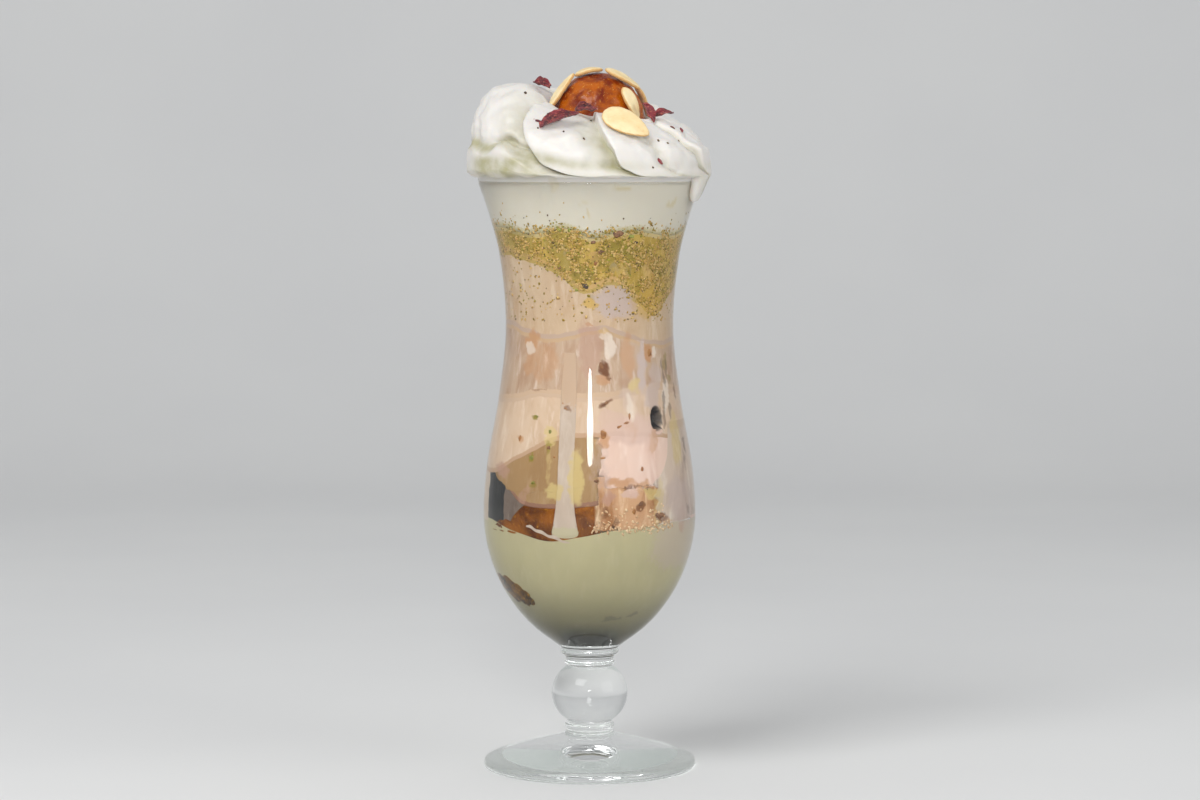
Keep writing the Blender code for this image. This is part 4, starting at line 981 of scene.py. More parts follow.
def scatter(data, mask, density_per_mm2, smallest, largest, flatness, seed, material):
    """Bits scattered over a mesh by its mask attribute, as one plain mesh."""
    tree = bpy.data.node_groups.get("scattered_bits") or scatter_tree()
    helper = helper_object(data)
    modifier = helper.modifiers.new("bits", "NODES")
    modifier.node_group = tree
    names = {item.name: item.identifier for item in tree.interface.items_tree if item.in_out == "INPUT"}
    modifier[names["Density"]] = density_per_mm2 * 1e6
    modifier[names["Mask"] + "_use_attribute"] = True
    modifier[names["Mask"] + "_attribute_name"] = mask
    modifier[names["Smallest"]] = smallest * MM
    modifier[names["Largest"]] = largest * MM
    modifier[names["Flatness"]] = flatness
    modifier[names["Seed"]] = seed
    modifier[names["Material"]] = material
    return evaluated(helper)


def ring_stations(angle):
    """Points of the piped ring's section at an angle, without lobes: radius, height, out and up."""
    crest_height, crest_radius = around(CREST_HEIGHT)(angle), around(CREST_RADIUS)(angle)
    edge_radius, power = around(OUTER_RADIUS)(angle), around(FULLNESS)(angle)
    section = []
    for i in range(1, 4):
        turn = math.pi / 2 * i / 3
        radius = crest_radius - (crest_radius - SOCKET_RADIUS) * math.cos(turn)
        height = SOCKET_EDGE_HEIGHT + (crest_height - SOCKET_EDGE_HEIGHT) * math.sin(turn)
        section.append((radius, height, 0.0, 1.0))
    for i in range(1, 7):
        turn = math.pi / 2 * i / 7
        radius = crest_radius + (edge_radius - crest_radius) * math.sin(turn) ** (2 / power)
        height = OUTER_HEIGHT + (crest_height - OUTER_HEIGHT) * math.cos(turn) ** (2 / power)
        section.append((radius, height, math.sin(turn), math.cos(turn)))
    notch = around(COIL_TOP)(angle)
    coil_radius = edge_radius + COIL_STAND + around(COIL_DEPTH)(angle) / 2
    for height in (notch, blend(notch, HEM_HEIGHT, 0.4), blend(notch, HEM_HEIGHT, 0.8)):
        section.append((coil_radius, height, 1.0, 0.0))
    return section


def coil_notch(angle, height):
    """How far the outer side draws in at a height, where the lower coil meets the lobes."""
    away = (height - around(COIL_TOP)(angle)) / COIL_REACH
    return around(COIL_DEPTH)(angle) * math.exp(-away * away)


def section_table(count):
    """Smooth sections of the ring for every degree: an array of radius, height, out and up."""
    shares = np.linspace(0.0, 1.0, count)
    table = []
    for angle in range(360):
        stations = ring_stations(float(angle))
        along = [i / (len(stations) - 1) for i in range(len(stations))]
        table.append(np.array([through(list(zip(along, values)))(shares) for values in zip(*stations)]).T)
    return np.array(table)


def run_depth(angle):
    """How far the cream runs down outside the glass at an angle."""
    away = abs((angle - RUN_ANGLE + TURN / 2) % TURN - TURN / 2) / RUN_SPREAD
    return RUN_LENGTH * math.sqrt(max(0.0, 1 - away ** 2.5))


def ring_columns(step):
    """For each column of the ring: its crease number and its share of the way to the next crease."""
    columns = []
    for i, (start, _) in enumerate(CREASES):
        end = CREASES[(i + 1) % len(CREASES)][0] + (TURN if i + 1 == len(CREASES) else 0.0)
        count = round((end - start) / step)
        columns += [(i, k / count) for k in range(count)]
    return columns


def column_angle(crease, share, rise):
    """Angle of a column of the ring. Rise is 0 at the rim and 1 beside the gulab jamun."""
    following = (crease + 1) % len(CREASES)
    extra = TURN if following == 0 else 0.0
    start = blend(*CREASES[crease], rise)
    end = blend(*CREASES[following], rise) + extra
    return blend(start, end, share)


def lobe_swell(share, lean):
    """How far a lobe stands out: nothing at its creases and most near the side that laps over another."""
    return 1 - abs(2 * share ** lean - 1) ** 2.4


def whipped_mesh():
    """The piped ring and the plug under it, as one closed skin, and how much painted shade each point gets in
    its creases, under the lower coil and along the hem.
    """
    columns = ring_columns(RING_STEP)
    ring_count, wall_count, bottom_count = 64, 16, 6
    table = section_table(ring_count)
    socket_turns = [10, 20, 30, 40, 50, 60, 70, 78]
    ring_start = 1 + len(socket_turns)
    hem = ring_start + ring_count
    wall_start = hem + 5
    bottom_start = wall_start + wall_count
    rings = bottom_start + bottom_count
    centre = Vector(TOP_JAMUN_CENTRE)
    fold_shades = []

    def ring_place(column, step):
        crease, share = columns[column]
        t = step / (ring_count - 1)
        rise = (1 - t) ** RISE_CURVE
        angle = column_angle(crease, share, rise)
        low = int(math.floor(angle)) % 360
        part = angle - math.floor(angle)
        radius, height, out, up = blend(table[low][step], table[(low + 1) % 360][step], part)
        radius -= out * coil_notch(angle, height)
        fade = min(1.0, 2.6 * (1 - rise) + 0.12) * min(1.0, 0.55 + 1.2 * rise)
        lean = blend(LOBE_LEAN, 0.5, LAPPED.get(crease, 0.0))
        swell = lobe_swell(share, lean)
        following = (crease + 1) % len(CREASES)
        strength = blend(CREASE_STRENGTH[crease], CREASE_STRENGTH[following], share)
        depth = CREASE_DEPTH * (swell - 0.72) * fade * strength
        lap = LAPPED.get(crease, 0.0) * fade * math.exp(-((share - 0.1) / 0.09) ** 2)
        angle -= 3.6 * lap
        depth += 1.1 * lap
        point = polar(radius + out * depth, angle, height + up * depth)
        ruffle = lumps(point, 5.0, 1.1, 2.0) + lumps(point, 2.2, 0.35, 7.0)
        point += polar(out * ruffle, angle, up * ruffle * 0.6)
        shift = max(0.0, rise * 1.6 - 0.6)
        point += Vector((centre.x * shift, centre.y * shift, lumps(point, 7.0, 0.5, 1.0)))
        reached = math.hypot(point.x, point.y)
        if reached > RING_SOFT_LIMIT:
            kept = RING_SOFT_LIMIT + 1.1 * (1 - math.exp((RING_SOFT_LIMIT - reached) / 1.1))
            point.x *= kept / reached
            point.y *= kept / reached
        # Painted shade: this mask darkens the creases between lobes, the groove under the lower coil and the
        # rows along the hem.
        coil_shade = math.exp(-((height - around(COIL_TOP)(angle)) / 1.8) ** 2) * around(COIL_DEPTH)(angle) / 3
        crevice_shade = max(0.0, 1.0 - 1.35 * swell) * fade * strength
        fold_shades[-1] = min(1.0, crevice_shade + 1.1 * coil_shade * out + 0.35 * max(0.0, t - 0.9) / 0.1)
        return point

    def place(column, ring):
        fold_shades.append(0.0)
        crease, share = columns[column]
        rim_angle = column_angle(crease, share, 0.0)
        if ring == 0:
            return centre - Vector((0.0, 0.0, SOCKET_RADIUS))
        if ring < ring_start:
            turn = math.radians(socket_turns[ring - 1])
            angle = column_angle(crease, share, 1.0)
            level = centre.z - SOCKET_RADIUS * math.cos(turn)
            return polar(SOCKET_RADIUS * math.sin(turn), angle, level) + Vector((centre.x, centre.y, 0.0))
        if ring < hem:
            return ring_place(column, ring - ring_start)
        run = run_depth(rim_angle)
        wave = 0.6 + 1.5 * max(0.0, noise.noise(polar(7.0, rim_angle, 3.0)) + 0.1)
        low = HEM_HEIGHT + wave - run
        edge = blend(HEM_RADIUS, outer_radius(low) + RUN_THICKNESS, run / RUN_LENGTH)
        if ring < hem + 3:
            share_in = (ring - hem) / 2
            touching = outer_radius(min(low, GLASS_HEIGHT)) - 0.1
            curl = 0.5 * math.sin(math.pi * share_in)
            return polar(blend(edge, touching, share_in), rim_angle, low + 0.3 * share_in - curl)
        if ring == hem + 3:
            return polar(outer_radius(GLASS_HEIGHT) - 0.4, rim_angle, GLASS_HEIGHT - 0.25)
        if ring == hem + 4:
            return polar(float(inner_radius(GLASS_HEIGHT)) + 0.4, rim_angle, GLASS_HEIGHT - 0.25)
        foot = boundary(CRUMB_TOP, rim_angle)
        if ring < bottom_start:
            height = blend(PLUG_TOP, foot, (ring - wall_start) / (wall_count - 1))
            return polar(float(inner_radius(height)) + WALL_REACH, rim_angle, height)
        inward = 1 - (ring - bottom_start + 1) / (bottom_count + 1)
        if ring == rings:
            return Vector((0.0, 0.0, CRUMB_TOP[0]))
        return polar(float(inner_radius(foot)) * inward, rim_angle, blend(CRUMB_TOP[0], foot, inward ** 2))

    data = wrapped_sphere(len(columns), rings, place)
    return data, np.array(fold_shades)


def boundary(levels, angle):
    """Height at the wall where two layers meet, with a small ripple that both layers share."""
    start = polar(9.0, angle, levels[0])
    ripple = noise.noise(start / 2.6) + 0.5 * noise.noise(start / 1.1)
    return float(around(levels[1])(angle)) + RIPPLE * ripple


def layer_mesh(low, high, lap=0.0):
    """A layer between two boundaries, pressed into the wall, with masks for how near each boundary is.

    Its lower edge may lap over what lies below it, at the wall.
    """
    columns, flat_rings, side_rings = 320, 8, 44
    rings = 2 * flat_rings + side_rings
    turns = [TURN * column / columns for column in range(columns)]
    edges = [(boundary(high, turn), boundary(low, turn) - lap) for turn in turns]
    reach = WALL_REACH + 0.05 * (lap > 0)

    def place(column, ring):
        angle = TURN * column / columns
        high_edge, low_edge = edges[column]
        if flat_rings <= ring <= rings - flat_rings:
            height = blend(high_edge, low_edge, (ring - flat_rings) / side_rings)
            return polar(float(inner_radius(height)) + reach, angle, height)
        on_top = ring < flat_rings
        share = (ring if on_top else rings - ring) / flat_rings
        edge, centre = (high_edge, high[0]) if on_top else (low_edge, low[0])
        return polar((float(inner_radius(edge)) + reach) * share, angle, blend(centre, edge, share ** 2))

    data = wrapped_sphere(columns, rings, place)
    points = vertex_array(data)
    table = np.array(edges)
    spots = np.round(round_the_axis(points)[0] % TURN / TURN * columns).astype(int) % columns
    set_mask(data, "top_blend", smooth_step(2.6, 0.0, table[spots, 0] - points[:, 2]))
    set_mask(data, "low_blend", smooth_step(3.2, 0.0, points[:, 2] - table[spots, 1]))
    return data


def make_layer(name, node, material, low, high, lap=0.0, pocket=None):
    """One layer of the filling, in place of its CAD solid."""
    data = layer_mesh(low, high, lap)
    if pocket:
        angle, height, half_width, half_height, depth = pocket
        points = vertex_array(data)
        angles, radii = round_the_axis(points)
        across = (angles - angle) * math.pi / 180 * radii
        away = np.hypot(across / half_width, (points[:, 2] - height) / half_height)
        near = radii > POCKET_INNERMOST
        depths = smooth_step(1.15, 0.75, away) * near * depth
        points[:, :2] *= (1 - depths / np.maximum(radii, 1.0))[:, None]
        set_vertices(data, points)
    paint_patches(data)
    if pocket:
        # Painted shade inside the air pocket.
        set_mask(data, "pocket_hole_shade", smooth_step(1.3, 1.0, away) * near)
    return finish_piece(name, data, material, [node], 50)


def make_right_film(material):
    """The smeared cream at the right, drawn back from the wall at its lower and upper edge."""
    data = add_film("cream_film_right", material)
    points = vertex_array(data)
    levels = points[:, 2]
    inward = smooth_step(90.5, 88.5, levels) + smooth_step(122.0, 126.5, levels)
    points[:, :2] *= (1 - 0.3 * inward / round_the_axis(points)[1])[:, None]
    set_vertices(data, points)
    set_mask(data, "low_blend", smooth_step(90.5, 87.0, levels))
    set_mask(data, "top_blend", smooth_step(114.0, 126.0, levels))
    paint_patches(data)


def make_chunk(material):
    """The loose chunk of gulab jamun, leaned and drawn out along the wall."""
    data = fill_from("loose_chunk", material)
    points = vertex_array(data)
    angles, radii = round_the_axis(points)
    turns = np.radians(angles)
    aside = turns - turns.mean()
    heights = points[:, 2] - CHUNK_LEAN * aside * radii
    radii *= inner_radius(heights) / inner_radius(points[:, 2])
    turns += aside * CHUNK_STRETCH
    set_vertices(data, np.stack((radii * np.cos(turns), radii * np.sin(turns), heights), 1))


def make_base_cream(material):
    """The melted cream in the bottom of the bowl, from its level down to the rounded floor, with painted
    shade that darkens it towards the bottom.
    """
    columns, top_rings, side_rings = 320, 22, 70
    rings = top_rings + side_rings
    level = around(CREAM_TOP[1])
    floor_shares = np.linspace(0.0, 1.0, side_rings + 1) ** 0.8

    def place(column, ring):
        angle = TURN * column / columns
        edge = float(level(angle)) + 0.25 * noise.noise(polar(3.0, angle, 0.0))
        if ring < top_rings:
            share = ring / top_rings
            radius = (float(inner_radius(edge)) + WALL_REACH) * share
            point = polar(radius, angle, blend(CREAM_TOP[0], edge, share ** 2))
            point.z += 0.35 * noise.noise(point / 6.0) * (1 - share) + 0.5 * max(0.0, share - 0.94) / 0.06
            return point
        if ring == rings:
            return Vector((0.0, 0.0, BOWL_FLOOR - WALL_REACH))
        height = blend(edge + 0.5, BOWL_FLOOR, floor_shares[ring - top_rings])
        return polar(float(inner_radius(height)) + WALL_REACH, angle, height - WALL_REACH * 0.5)

    data = wrapped_sphere(columns, rings, place)
    paint_patches(data)
    points = vertex_array(data)
    # Painted shade: the base cream darkens towards the bottom of the bowl, and most of all low in the middle.
    set_mask(data, "shaded", smooth_step(70.0, 50.0, points[:, 2]) * 0.75)
    middle = smooth_step(13.0, 5.0, np.abs(points[:, 0]))
    set_mask(data, "deep", smooth_step(56.0, 47.0, points[:, 2]) * (0.45 + 0.5 * middle))
    paler = smooth_step(0.0, 34.0, points[:, 0]) * smooth_step(60.0, 80.0, points[:, 2])
    set_mask(data, "top_blend", paler * 0.75)
    return finish_piece("base_cream_fill", data, material, ["base_cream"], 50)


def press_to_wall(points, normals, closing, start, full, reach):
    """Grows a solid a little, and presses what lies near the wall just into the glass."""
    points = points + normals * closing
    radii = round_the_axis(points)[1]
    wall = inner_radius(points[:, 2])
    share = smooth_step(start, full, wall - radii)
    wanted = np.minimum(blend(radii, wall + reach, share), wall + reach)
    scale = np.where(radii > 0.5, wanted / np.maximum(radii, 0.5), 1.0)
    points[:, :2] *= scale[:, None]
    return points


def fill_from(name, material, lowest=None):
    """A food inside the glass: its CAD solid in fine faces, pressed to the wall, with bumps and patches."""
    node, slot, pitch, relief, size, seed, start, full, reach = FILLS[name]
    data = even_copy(node, pitch)
    points = vertex_array(data)
    normals = normal_array(data)
    rough = field(points, size, seed) + 0.5 * field(points, size / 2.3, seed + 5.0)
    points += normals * (relief * rough)[:, None]
    closing = bpy.context.scene.sundae_sizes.gap_closing / MM
    points = press_to_wall(points, normals, closing, start, full, reach)
    if lowest is not None:
        points[:, 2] = np.maximum(points[:, 2], lowest)
    set_vertices(data, points)
    paint_patches(data)
    return finish_piece(name, data, material, [node]).data


def wall_sheet(low, high, mask_of, reach=0.0, pitch=0.8):
    """A helper sheet on the glass's inner side, with a mask that says where bits lie. It isn't kept."""
    rows = max(2, int((high - low) / pitch))
    columns = 260
    bm = bmesh.new()
    grid = []
    for row in range(rows + 1):
        height = blend(low, high, row / rows)
        radius = float(inner_radius(height)) + WALL_REACH + reach
        turns = [TURN * column / columns for column in range(columns)]
        grid.append([bm.verts.new(polar(radius, turn, height)) for turn in turns])
    for a, b in zip(grid, grid[1:]):
        for column in range(columns):
            following = (column + 1) % columns
            bm.faces.new((a[column], a[following], b[following], b[column]))
    for vertex in bm.verts:
        vertex.co *= MM
    data = bpy.data.meshes.new("sheet")
    bm.to_mesh(data)
    bm.free()
    set_mask(data, "where", mask_of(vertex_array(data)))
    return data


def film_mesh(low, high, first_angle, last_angle, thickness, reach, waver):
    """A thin film on the wall, between two angles and two heights, thinning out at its edges.

    Either height may be a list of heights by angle. Reach is how much further into the wall it goes than the
    foods do, and waver is how far the two upright edges stray, in degrees.
    """
    columns, rows = 60, 50
    bottom = around(low) if isinstance(low, list) else (lambda angle: low)
    top = around(high) if isinstance(high, list) else (lambda angle: high)
    reach += WALL_REACH
    bm = bmesh.new()
    skins = ({}, {})
    for row in range(rows + 1):
        stray = noise.noise(Vector((row * 0.16, 7.0, 0.0))), noise.noise(Vector((row * 0.5, 3.0, 0.0)))
        edge = 1.6 * stray[0] + 0.8 * stray[1]
        for column in range(columns + 1):
            across, up = column / columns, row / rows
            angle = blend(first_angle, last_angle, across) + edge * blend(*waver, across)
            height = blend(float(bottom(angle)), float(top(angle)), up)
            fade = min(1.0, 6 * across, 6 * (1 - across), 8 * up + 0.2, 8 * (1 - up) + 0.2)
            for side, skin in enumerate(skins):
                radius = float(inner_radius(height)) + reach - side * thickness * max(fade, 0.05)
                skin[row, column] = bm.verts.new(polar(radius, angle, height))
    outer, inner = skins
    for row in range(rows):
        for column in range(columns):
            corners = ((row, column), (row, column + 1), (row + 1, column + 1), (row + 1, column))
            bm.faces.new([outer[corner] for corner in corners])
            bm.faces.new([inner[corner] for corner in reversed(corners)])
    loop = [(0, c) for c in range(columns)] + [(r, columns) for r in range(rows)]
    loop += [(rows, c) for c in range(columns, 0, -1)] + [(r, 0) for r in range(rows, 0, -1)]
    for a, b in zip(loop, loop[1:] + loop[:1]):
        bm.faces.new((outer[a], inner[a], inner[b], outer[b]))
    return mesh_from(bm)


def add_film(name, material):
    """Adds one of the films at the wall as a piece, and gives its mesh."""
    slot, *shape = FILMS[name]
    return finish_piece(name, film_mesh(*shape), material).data


def lumps_at(places, sides, seed):
    """Small uneven lumps as one mesh: places hold a centre, three half sizes and a turn matrix."""
    bm = bmesh.new()
    for number, (centre, halves, turn) in enumerate(places):
        made = bmesh.ops.create_icosphere(bm, subdivisions=sides, radius=1.0)["verts"]
        for vertex in made:
            push = 1 + 0.35 * noise.noise(vertex.co * 1.1 + Vector((number * 3.7 + seed, 0.0, seed)))
            local = Vector([c * h * push for c, h in zip(vertex.co, halves)])
            vertex.co = centre + turn @ local
    return mesh_from(bm)


def wall_turn(angle, lean):
    """Axes at the wall: along it, up it and out of it, leaned by an angle."""
    out = polar(1.0, angle, 0.0)
    side = Vector((-out.y, out.x, 0.0))
    up = Vector((0.0, 0.0, 1.0))
    swing = math.radians(lean)
    first = side * math.cos(swing) + up * math.sin(swing)
    second = up * math.cos(swing) - side * math.sin(swing)
    return Matrix((first, second, out)).transposed()


def arc(radius, height, half_width, half_height, turns):
    """Points on an ellipse round a point of a section, one for each turn in degrees."""
    turns = [math.radians(turn) for turn in turns]
    return [(radius + half_width * math.cos(turn), height + half_height * math.sin(turn)) for turn in turns]


def glass_outline():
    """The closed outline of the glass in fine steps: inner side, rim, outer side, stem, foot, underside."""
    inner = inner_section(90)[::-1]
    outer = [wall_section(height)[0] for height in bowl_heights(90)]
    (r_out, z_out), (r_in, z_in) = outer[0], inner[-1]
    middle_r, middle_z = (r_out + r_in) / 2, (z_out + z_in) / 2
    rim = arc(middle_r, middle_z, WALL / 2, GLASS_HEIGHT - middle_z, [180 - 15 * i for i in range(1, 12)])
    round_over = [90 - 30 * i for i in range(7)]
    collar = arc(COLLAR_RADIUS - 0.7, 40.9, 0.7, 0.9, round_over)
    collar += [(9.0, 39.6), (8.6, 38.9), (8.35, 38.0), (8.35, 37.4)]
    collar += arc(8.5, 36.8, 0.45, 0.45, round_over)
    start = math.degrees(math.acos(NECK_RADIUS / BALL_RADIUS)) + 3
    stretch = BALL_HALF_HEIGHT / math.sin(math.radians(start))
    ball = arc(0.0, BALL_CENTRE, BALL_RADIUS, stretch, [blend(start, -start, i / 40) for i in range(41)])
    foot = [(8.5, 15.2), (8.75, 14.7), (8.5, 14.2), (8.25, 13.6), (8.25, 12.9), (8.45, 12.3)]
    for i in range(26):
        share = (i / 25) ** 1.3 * 0.985
        radius = blend(NECK_RADIUS, FOOT_RADIUS, share)
        foot.append((radius + 0.6 * (1 - share) ** 8, float(foot_top(radius))))
    foot += [(FOOT_RADIUS - inset, height) for inset, height in FOOT_RIM]
    foot += [(REST_RING_INNER + 0.5, 0.0), (REST_RING_INNER, 0.06)]
    for i in range(1, 15):
        share = 1 - i / 15
        foot.append((REST_RING_INNER * share, KICK_UP * (1 - share ** 2) ** 1.1))
    return inner + rim + outer[:-1] + collar + ball + foot + [(0.0, KICK_UP)]


def foot_top(radius):
    """Height of the foot's domed upper side."""
    share = np.clip((radius - NECK_RADIUS) / (FOOT_RADIUS - NECK_RADIUS), 0.0, 1.0)
    return FOOT_EDGE + (FOOT_NECK_HEIGHT - FOOT_EDGE) * (1 - share) ** FOOT_SWELL


def make_whipped_cream(material):
    """The piped ring and its plug, with masks for the painted shade in its creases, on the lower coil and on
    the plug seen through the glass.
    """
    data, fold_shades = whipped_mesh()
    points = vertex_array(data)
    heights = points[:, 2]
    angles, radii = round_the_axis(points)
    # Painted shade on the lower coil at the front left, under the overhang of the lobes.
    coil = smooth_step(-172.0, -150.0, angles) * smooth_step(-98.0, -122.0, angles)
    coil *= smooth_step(216.0, 212.5, heights) * smooth_step(GLASS_HEIGHT + 0.3, GLASS_HEIGHT + 2.0, heights)
    coil *= np.clip(0.85 + 0.6 * field(points, 5.0, 12.0), 0.0, 1.0)
    set_mask(data, "fold_shade", np.maximum(fold_shades, coil))
    below = smooth_step(GLASS_HEIGHT + 0.2, GLASS_HEIGHT - 0.6, heights)
    # Painted shade: the plug under the rim gets its own darker colour.
    set_mask(data, "plug", below * (radii < outer_radius(np.minimum(heights, GLASS_HEIGHT)) - 0.6))
    feet = np.array([boundary(CRUMB_TOP, angle) for angle in angles])
    set_mask(data, "low_blend", smooth_step(5.0, 0.0, heights - feet))
    paint_patches(data)
    return finish_piece("piped_cream", data, material, ["whipped_cream"])


def make_crumbs():
    """Ground pistachio against the glass, thick in its layer and thinning above and below it."""

    def where(points):
        angles, heights = round_the_axis(points)[0], points[:, 2]
        low = np.array([boundary(CRUMB_FLOOR, angle) for angle in angles])
        high = np.array([boundary(CRUMB_TOP, angle) for angle in angles])
        clumps = field(points, 3.4, 2.0) + 0.6 * field(points, 1.4, 8.0)
        inside = smooth_step(-2.5, 2.0, heights - low) * smooth_step(4.0, -1.5, heights - high)
        loose = 0.03 * smooth_step(10.0, 0.0, heights - high)
        return np.clip(inside * (0.3 + 1.2 * clumps), 0.0, 1.0) + loose

    for name, (finish, first, second, density, smallest, largest, seed) in CRUMBS.items():
        material = bit_material(finish, first, second, 0.65)
        sheet = wall_sheet(158.0, 200.0, where, 0.08)
        grains = scatter(sheet, "where", density, smallest, largest, 0.6, seed, material)
        finish_piece(name, grains, material)


def make_run(material):
    """The run of melted cream down the inner wall, narrowed, with a rounded foot that sinks into the base."""
    data = fill_from("cream_run_inside", material)
    points = vertex_array(data)
    foot, top = points[:, 2].min(), points[:, 2].max()
    angles, radii = round_the_axis(points)
    aside = (angles - RUN_INSIDE_ANGLE) * RUN_NARROWING
    turns = np.radians(RUN_INSIDE_ANGLE + aside)
    sunk = smooth_step(foot + 5.0, foot, points[:, 2])
    heights = points[:, 2] - sunk * (RUN_SINK - 3.2 * (aside / RUN_FOOT_SPREAD) ** 2)
    radii -= 0.4 * smooth_step(foot + 1.4, foot - 0.8, heights)
    radii -= 0.4 * smooth_step(top - 4.0, top - 1.0, heights)
    set_vertices(data, np.stack((radii * np.cos(turns), radii * np.sin(turns), heights), 1))
    set_mask(data, "low_blend", smooth_step(foot + 7.0, foot, heights))
    set_mask(data, "top_blend", smooth_step(top - 34.0, top - 8.0, heights))


def make_sponge_grains():
    """Loose sponge grains along the wall."""

    def where(points):
        across = np.abs(round_the_axis(points)[0] + 64.0)
        band = smooth_step(22.0, 16.0, across) * smooth_step(87.0, 88.5, points[:, 2])
        band *= smooth_step(97.0, 90.5, points[:, 2])
        line = smooth_step(30.0, 22.0, across) * smooth_step(1.6, 0.5, np.abs(points[:, 2] - 87.6))
        clumps = 0.35 + 1.0 * field(points, 2.4, 5.0)
        return np.clip(np.maximum(band * clumps, line), 0.0, 1.0)

    crumb = bit_material("sponge_grain", "#c8a27c", "#e6cda8", 0.85)
    grains = scatter(wall_sheet(84.0, 104.0, where), "where", 1.6, 0.25, 0.7, 0.7, 31, crumb)
    finish_piece("sponge_grains", grains, crumb)


def make_wall_bits():
    """Nut pieces and fruit that are pressed against the glass where the photograph shows them."""
    for kind, (first, second) in BIT_COLORS.items():
        places = []
        for angle, height, half_width, half_height, lean in WALL_BITS[kind]:
            thick = min(0.6, 0.5 * (half_width + half_height))
            centre = polar(float(inner_radius(height)) + WALL_REACH + 0.12 - 0.8 * thick, angle, height)
            places.append((centre, (half_width, half_height, thick), wall_turn(angle, lean)))
        material = bit_material(kind + "_flesh", first, second, 0.5, 0.2)
        finish_piece(kind + "_bits", lumps_at(places, 3, float(len(kind))), material)


def make_top_specks(cream):
    """Fine spice specks and petal scraps on the piped cream."""
    tree = BVHTree.FromObject(cream, bpy.context.evaluated_depsgraph_get())
    kinds = {"spice_speck": [], "petal_scrap": []}
    for kind, x, y, half_width, half_length, heading in TOP_SPECKS:
        hit, normal = tree.ray_cast(Vector((x * MM, y * MM, 0.3)), Vector((0.0, 0.0, -1.0)))[:2]
        if hit is None:
            raise RuntimeError("a speck misses the cream")
        turn = normal.to_track_quat("Z", "Y").to_matrix() @ Matrix.Rotation(math.radians(heading), 3, "Z")
        thick = 0.3 if kind == "spice_speck" else 0.35
        kinds[kind].append((hit / MM + normal * 0.1, (half_width, half_length, thick), turn))
    spice = bit_material("spice", "#4a3a2e", "#6b5a3c", 0.7)
    finish_piece("spice_specks", lumps_at(kinds["spice_speck"], 2, 2.0), spice)
    scraps = bpy.data.materials["dried_rose"]
    finish_piece("petal_scraps", lumps_at(kinds["petal_scrap"], 3, 5.0), scraps)


def make_stage():
    """Floor, backdrop, lights and camera."""
    bm = bmesh.new()
    profile = [(FLOOR_FRONT, 0.0), (FLOOR_BACK, 0.0)]
    for i in range(1, 13):
        turn = math.pi / 2 * i / 12
        profile.append((FLOOR_BACK + FLOOR_BEND * math.sin(turn), FLOOR_BEND - FLOOR_BEND * math.cos(turn)))
    profile.append((FLOOR_BACK + FLOOR_BEND, BACKDROP_TOP))
    rows = [[bm.verts.new((x, y, z)) for x in (-FLOOR_SIDE, FLOOR_SIDE)] for y, z in profile]
    for a, b in zip(rows, rows[1:]):
        bm.faces.new((a[0], a[1], b[1], b[0]))
    floor_data = mesh_from(bm, 1.0)
    material, tree, shader = new_material("pale_floor")
    shade = add_noise(tree, object_coordinates(tree), 3.0, 3.0)
    color = add_mix(tree, add_range(tree, shade, 0.3, 0.7), (0.80, 0.80, 0.79), (0.77, 0.77, 0.765))
    feed(tree, shader, {"Base Color": color, "Roughness": 0.8})
    floor_data.materials.append(material)
    floor = bpy.data.objects.new("studio_floor", floor_data)
    bpy.context.scene.collection.objects.link(floor)
    for polygon in floor_data.polygons:
        polygon.use_smooth = True
    for name, place, width, height, power, target in LIGHTS:
        light = bpy.data.lights.new(name, "AREA")
        light.shape = "ELLIPSE" if name == "strip_light" else "RECTANGLE"
        light.size = width
        light.size_y = height
        light.energy = power
        made = bpy.data.objects.new(name, light)
        made.location = place
        made.rotation_euler = (Vector(target) - Vector(place)).to_track_quat("-Z", "Y").to_euler()
        bpy.context.scene.collection.objects.link(made)
    world = bpy.data.worlds.new("pale_room")
    world.use_nodes = True
    world.node_tree.nodes["Background"].inputs["Color"].default_value = SKY_COLOR
    world.node_tree.nodes["Background"].inputs["Strength"].default_value = SKY_STRENGTH
    bpy.context.scene.world = world
    camera_data = bpy.data.cameras.new("photo_camera")
    camera_data.lens = CAMERA_LENS
    camera_data.sensor_width = CAMERA_SENSOR
    camera = bpy.data.objects.new("photo_camera", camera_data)
    camera.location = CAMERA_PLACE
    camera.rotation_euler = (math.radians(CAMERA_TILT), 0.0, 0.0)
    bpy.context.scene.collection.objects.link(camera)
    bpy.context.scene.camera = camera
    bpy.context.scene.view_settings.view_transform = "Standard"


def color_property(name, text, description):
    """A colour that a user may change, with its default from a hex sRGB text."""
    return bpy.props.FloatVectorProperty(name=name, description=description, subtype="COLOR", size=3, min=0.0,
                                         max=1.0, default=tone(text))


class SundaeFinishes(bpy.types.PropertyGroup):
    """Main colours of the foods."""

    whipped_cream: color_property("Whipped cream", "#e4e0da", "Colour of the piped cream")
    # Painted shade: the colour that the creases and the lower coil of the piped cream darken to.
    cream_fold_shade: color_property("Cream folds", "#b2ad88", "Warm tint in the folds of the piped cream")
    # Painted shade: the darker colour of the cream under the rim, seen through the glass.
    cream_shaded_behind_glass: color_property("Cream behind glass", "#d8d2c4", "Colour of the cream under the rim")
    fried_dough: color_property("Fried dough", "#b85c00", "Lighter colour of the gulab jamun on top")
    fried_dough_dark: color_property("Dark fried dough", "#742206", "Dark patches of the gulab jamun on top")
    almond: color_property("Almond", "#f6e2b4", "Pale flesh of the sliced almonds")
    almond_edge: color_property("Almond edge", "#cf9f5c", "Golden edge of the sliced almonds")
    petal: color_property("Rose petal", "#84222f", "Colour of the dried rose petals")


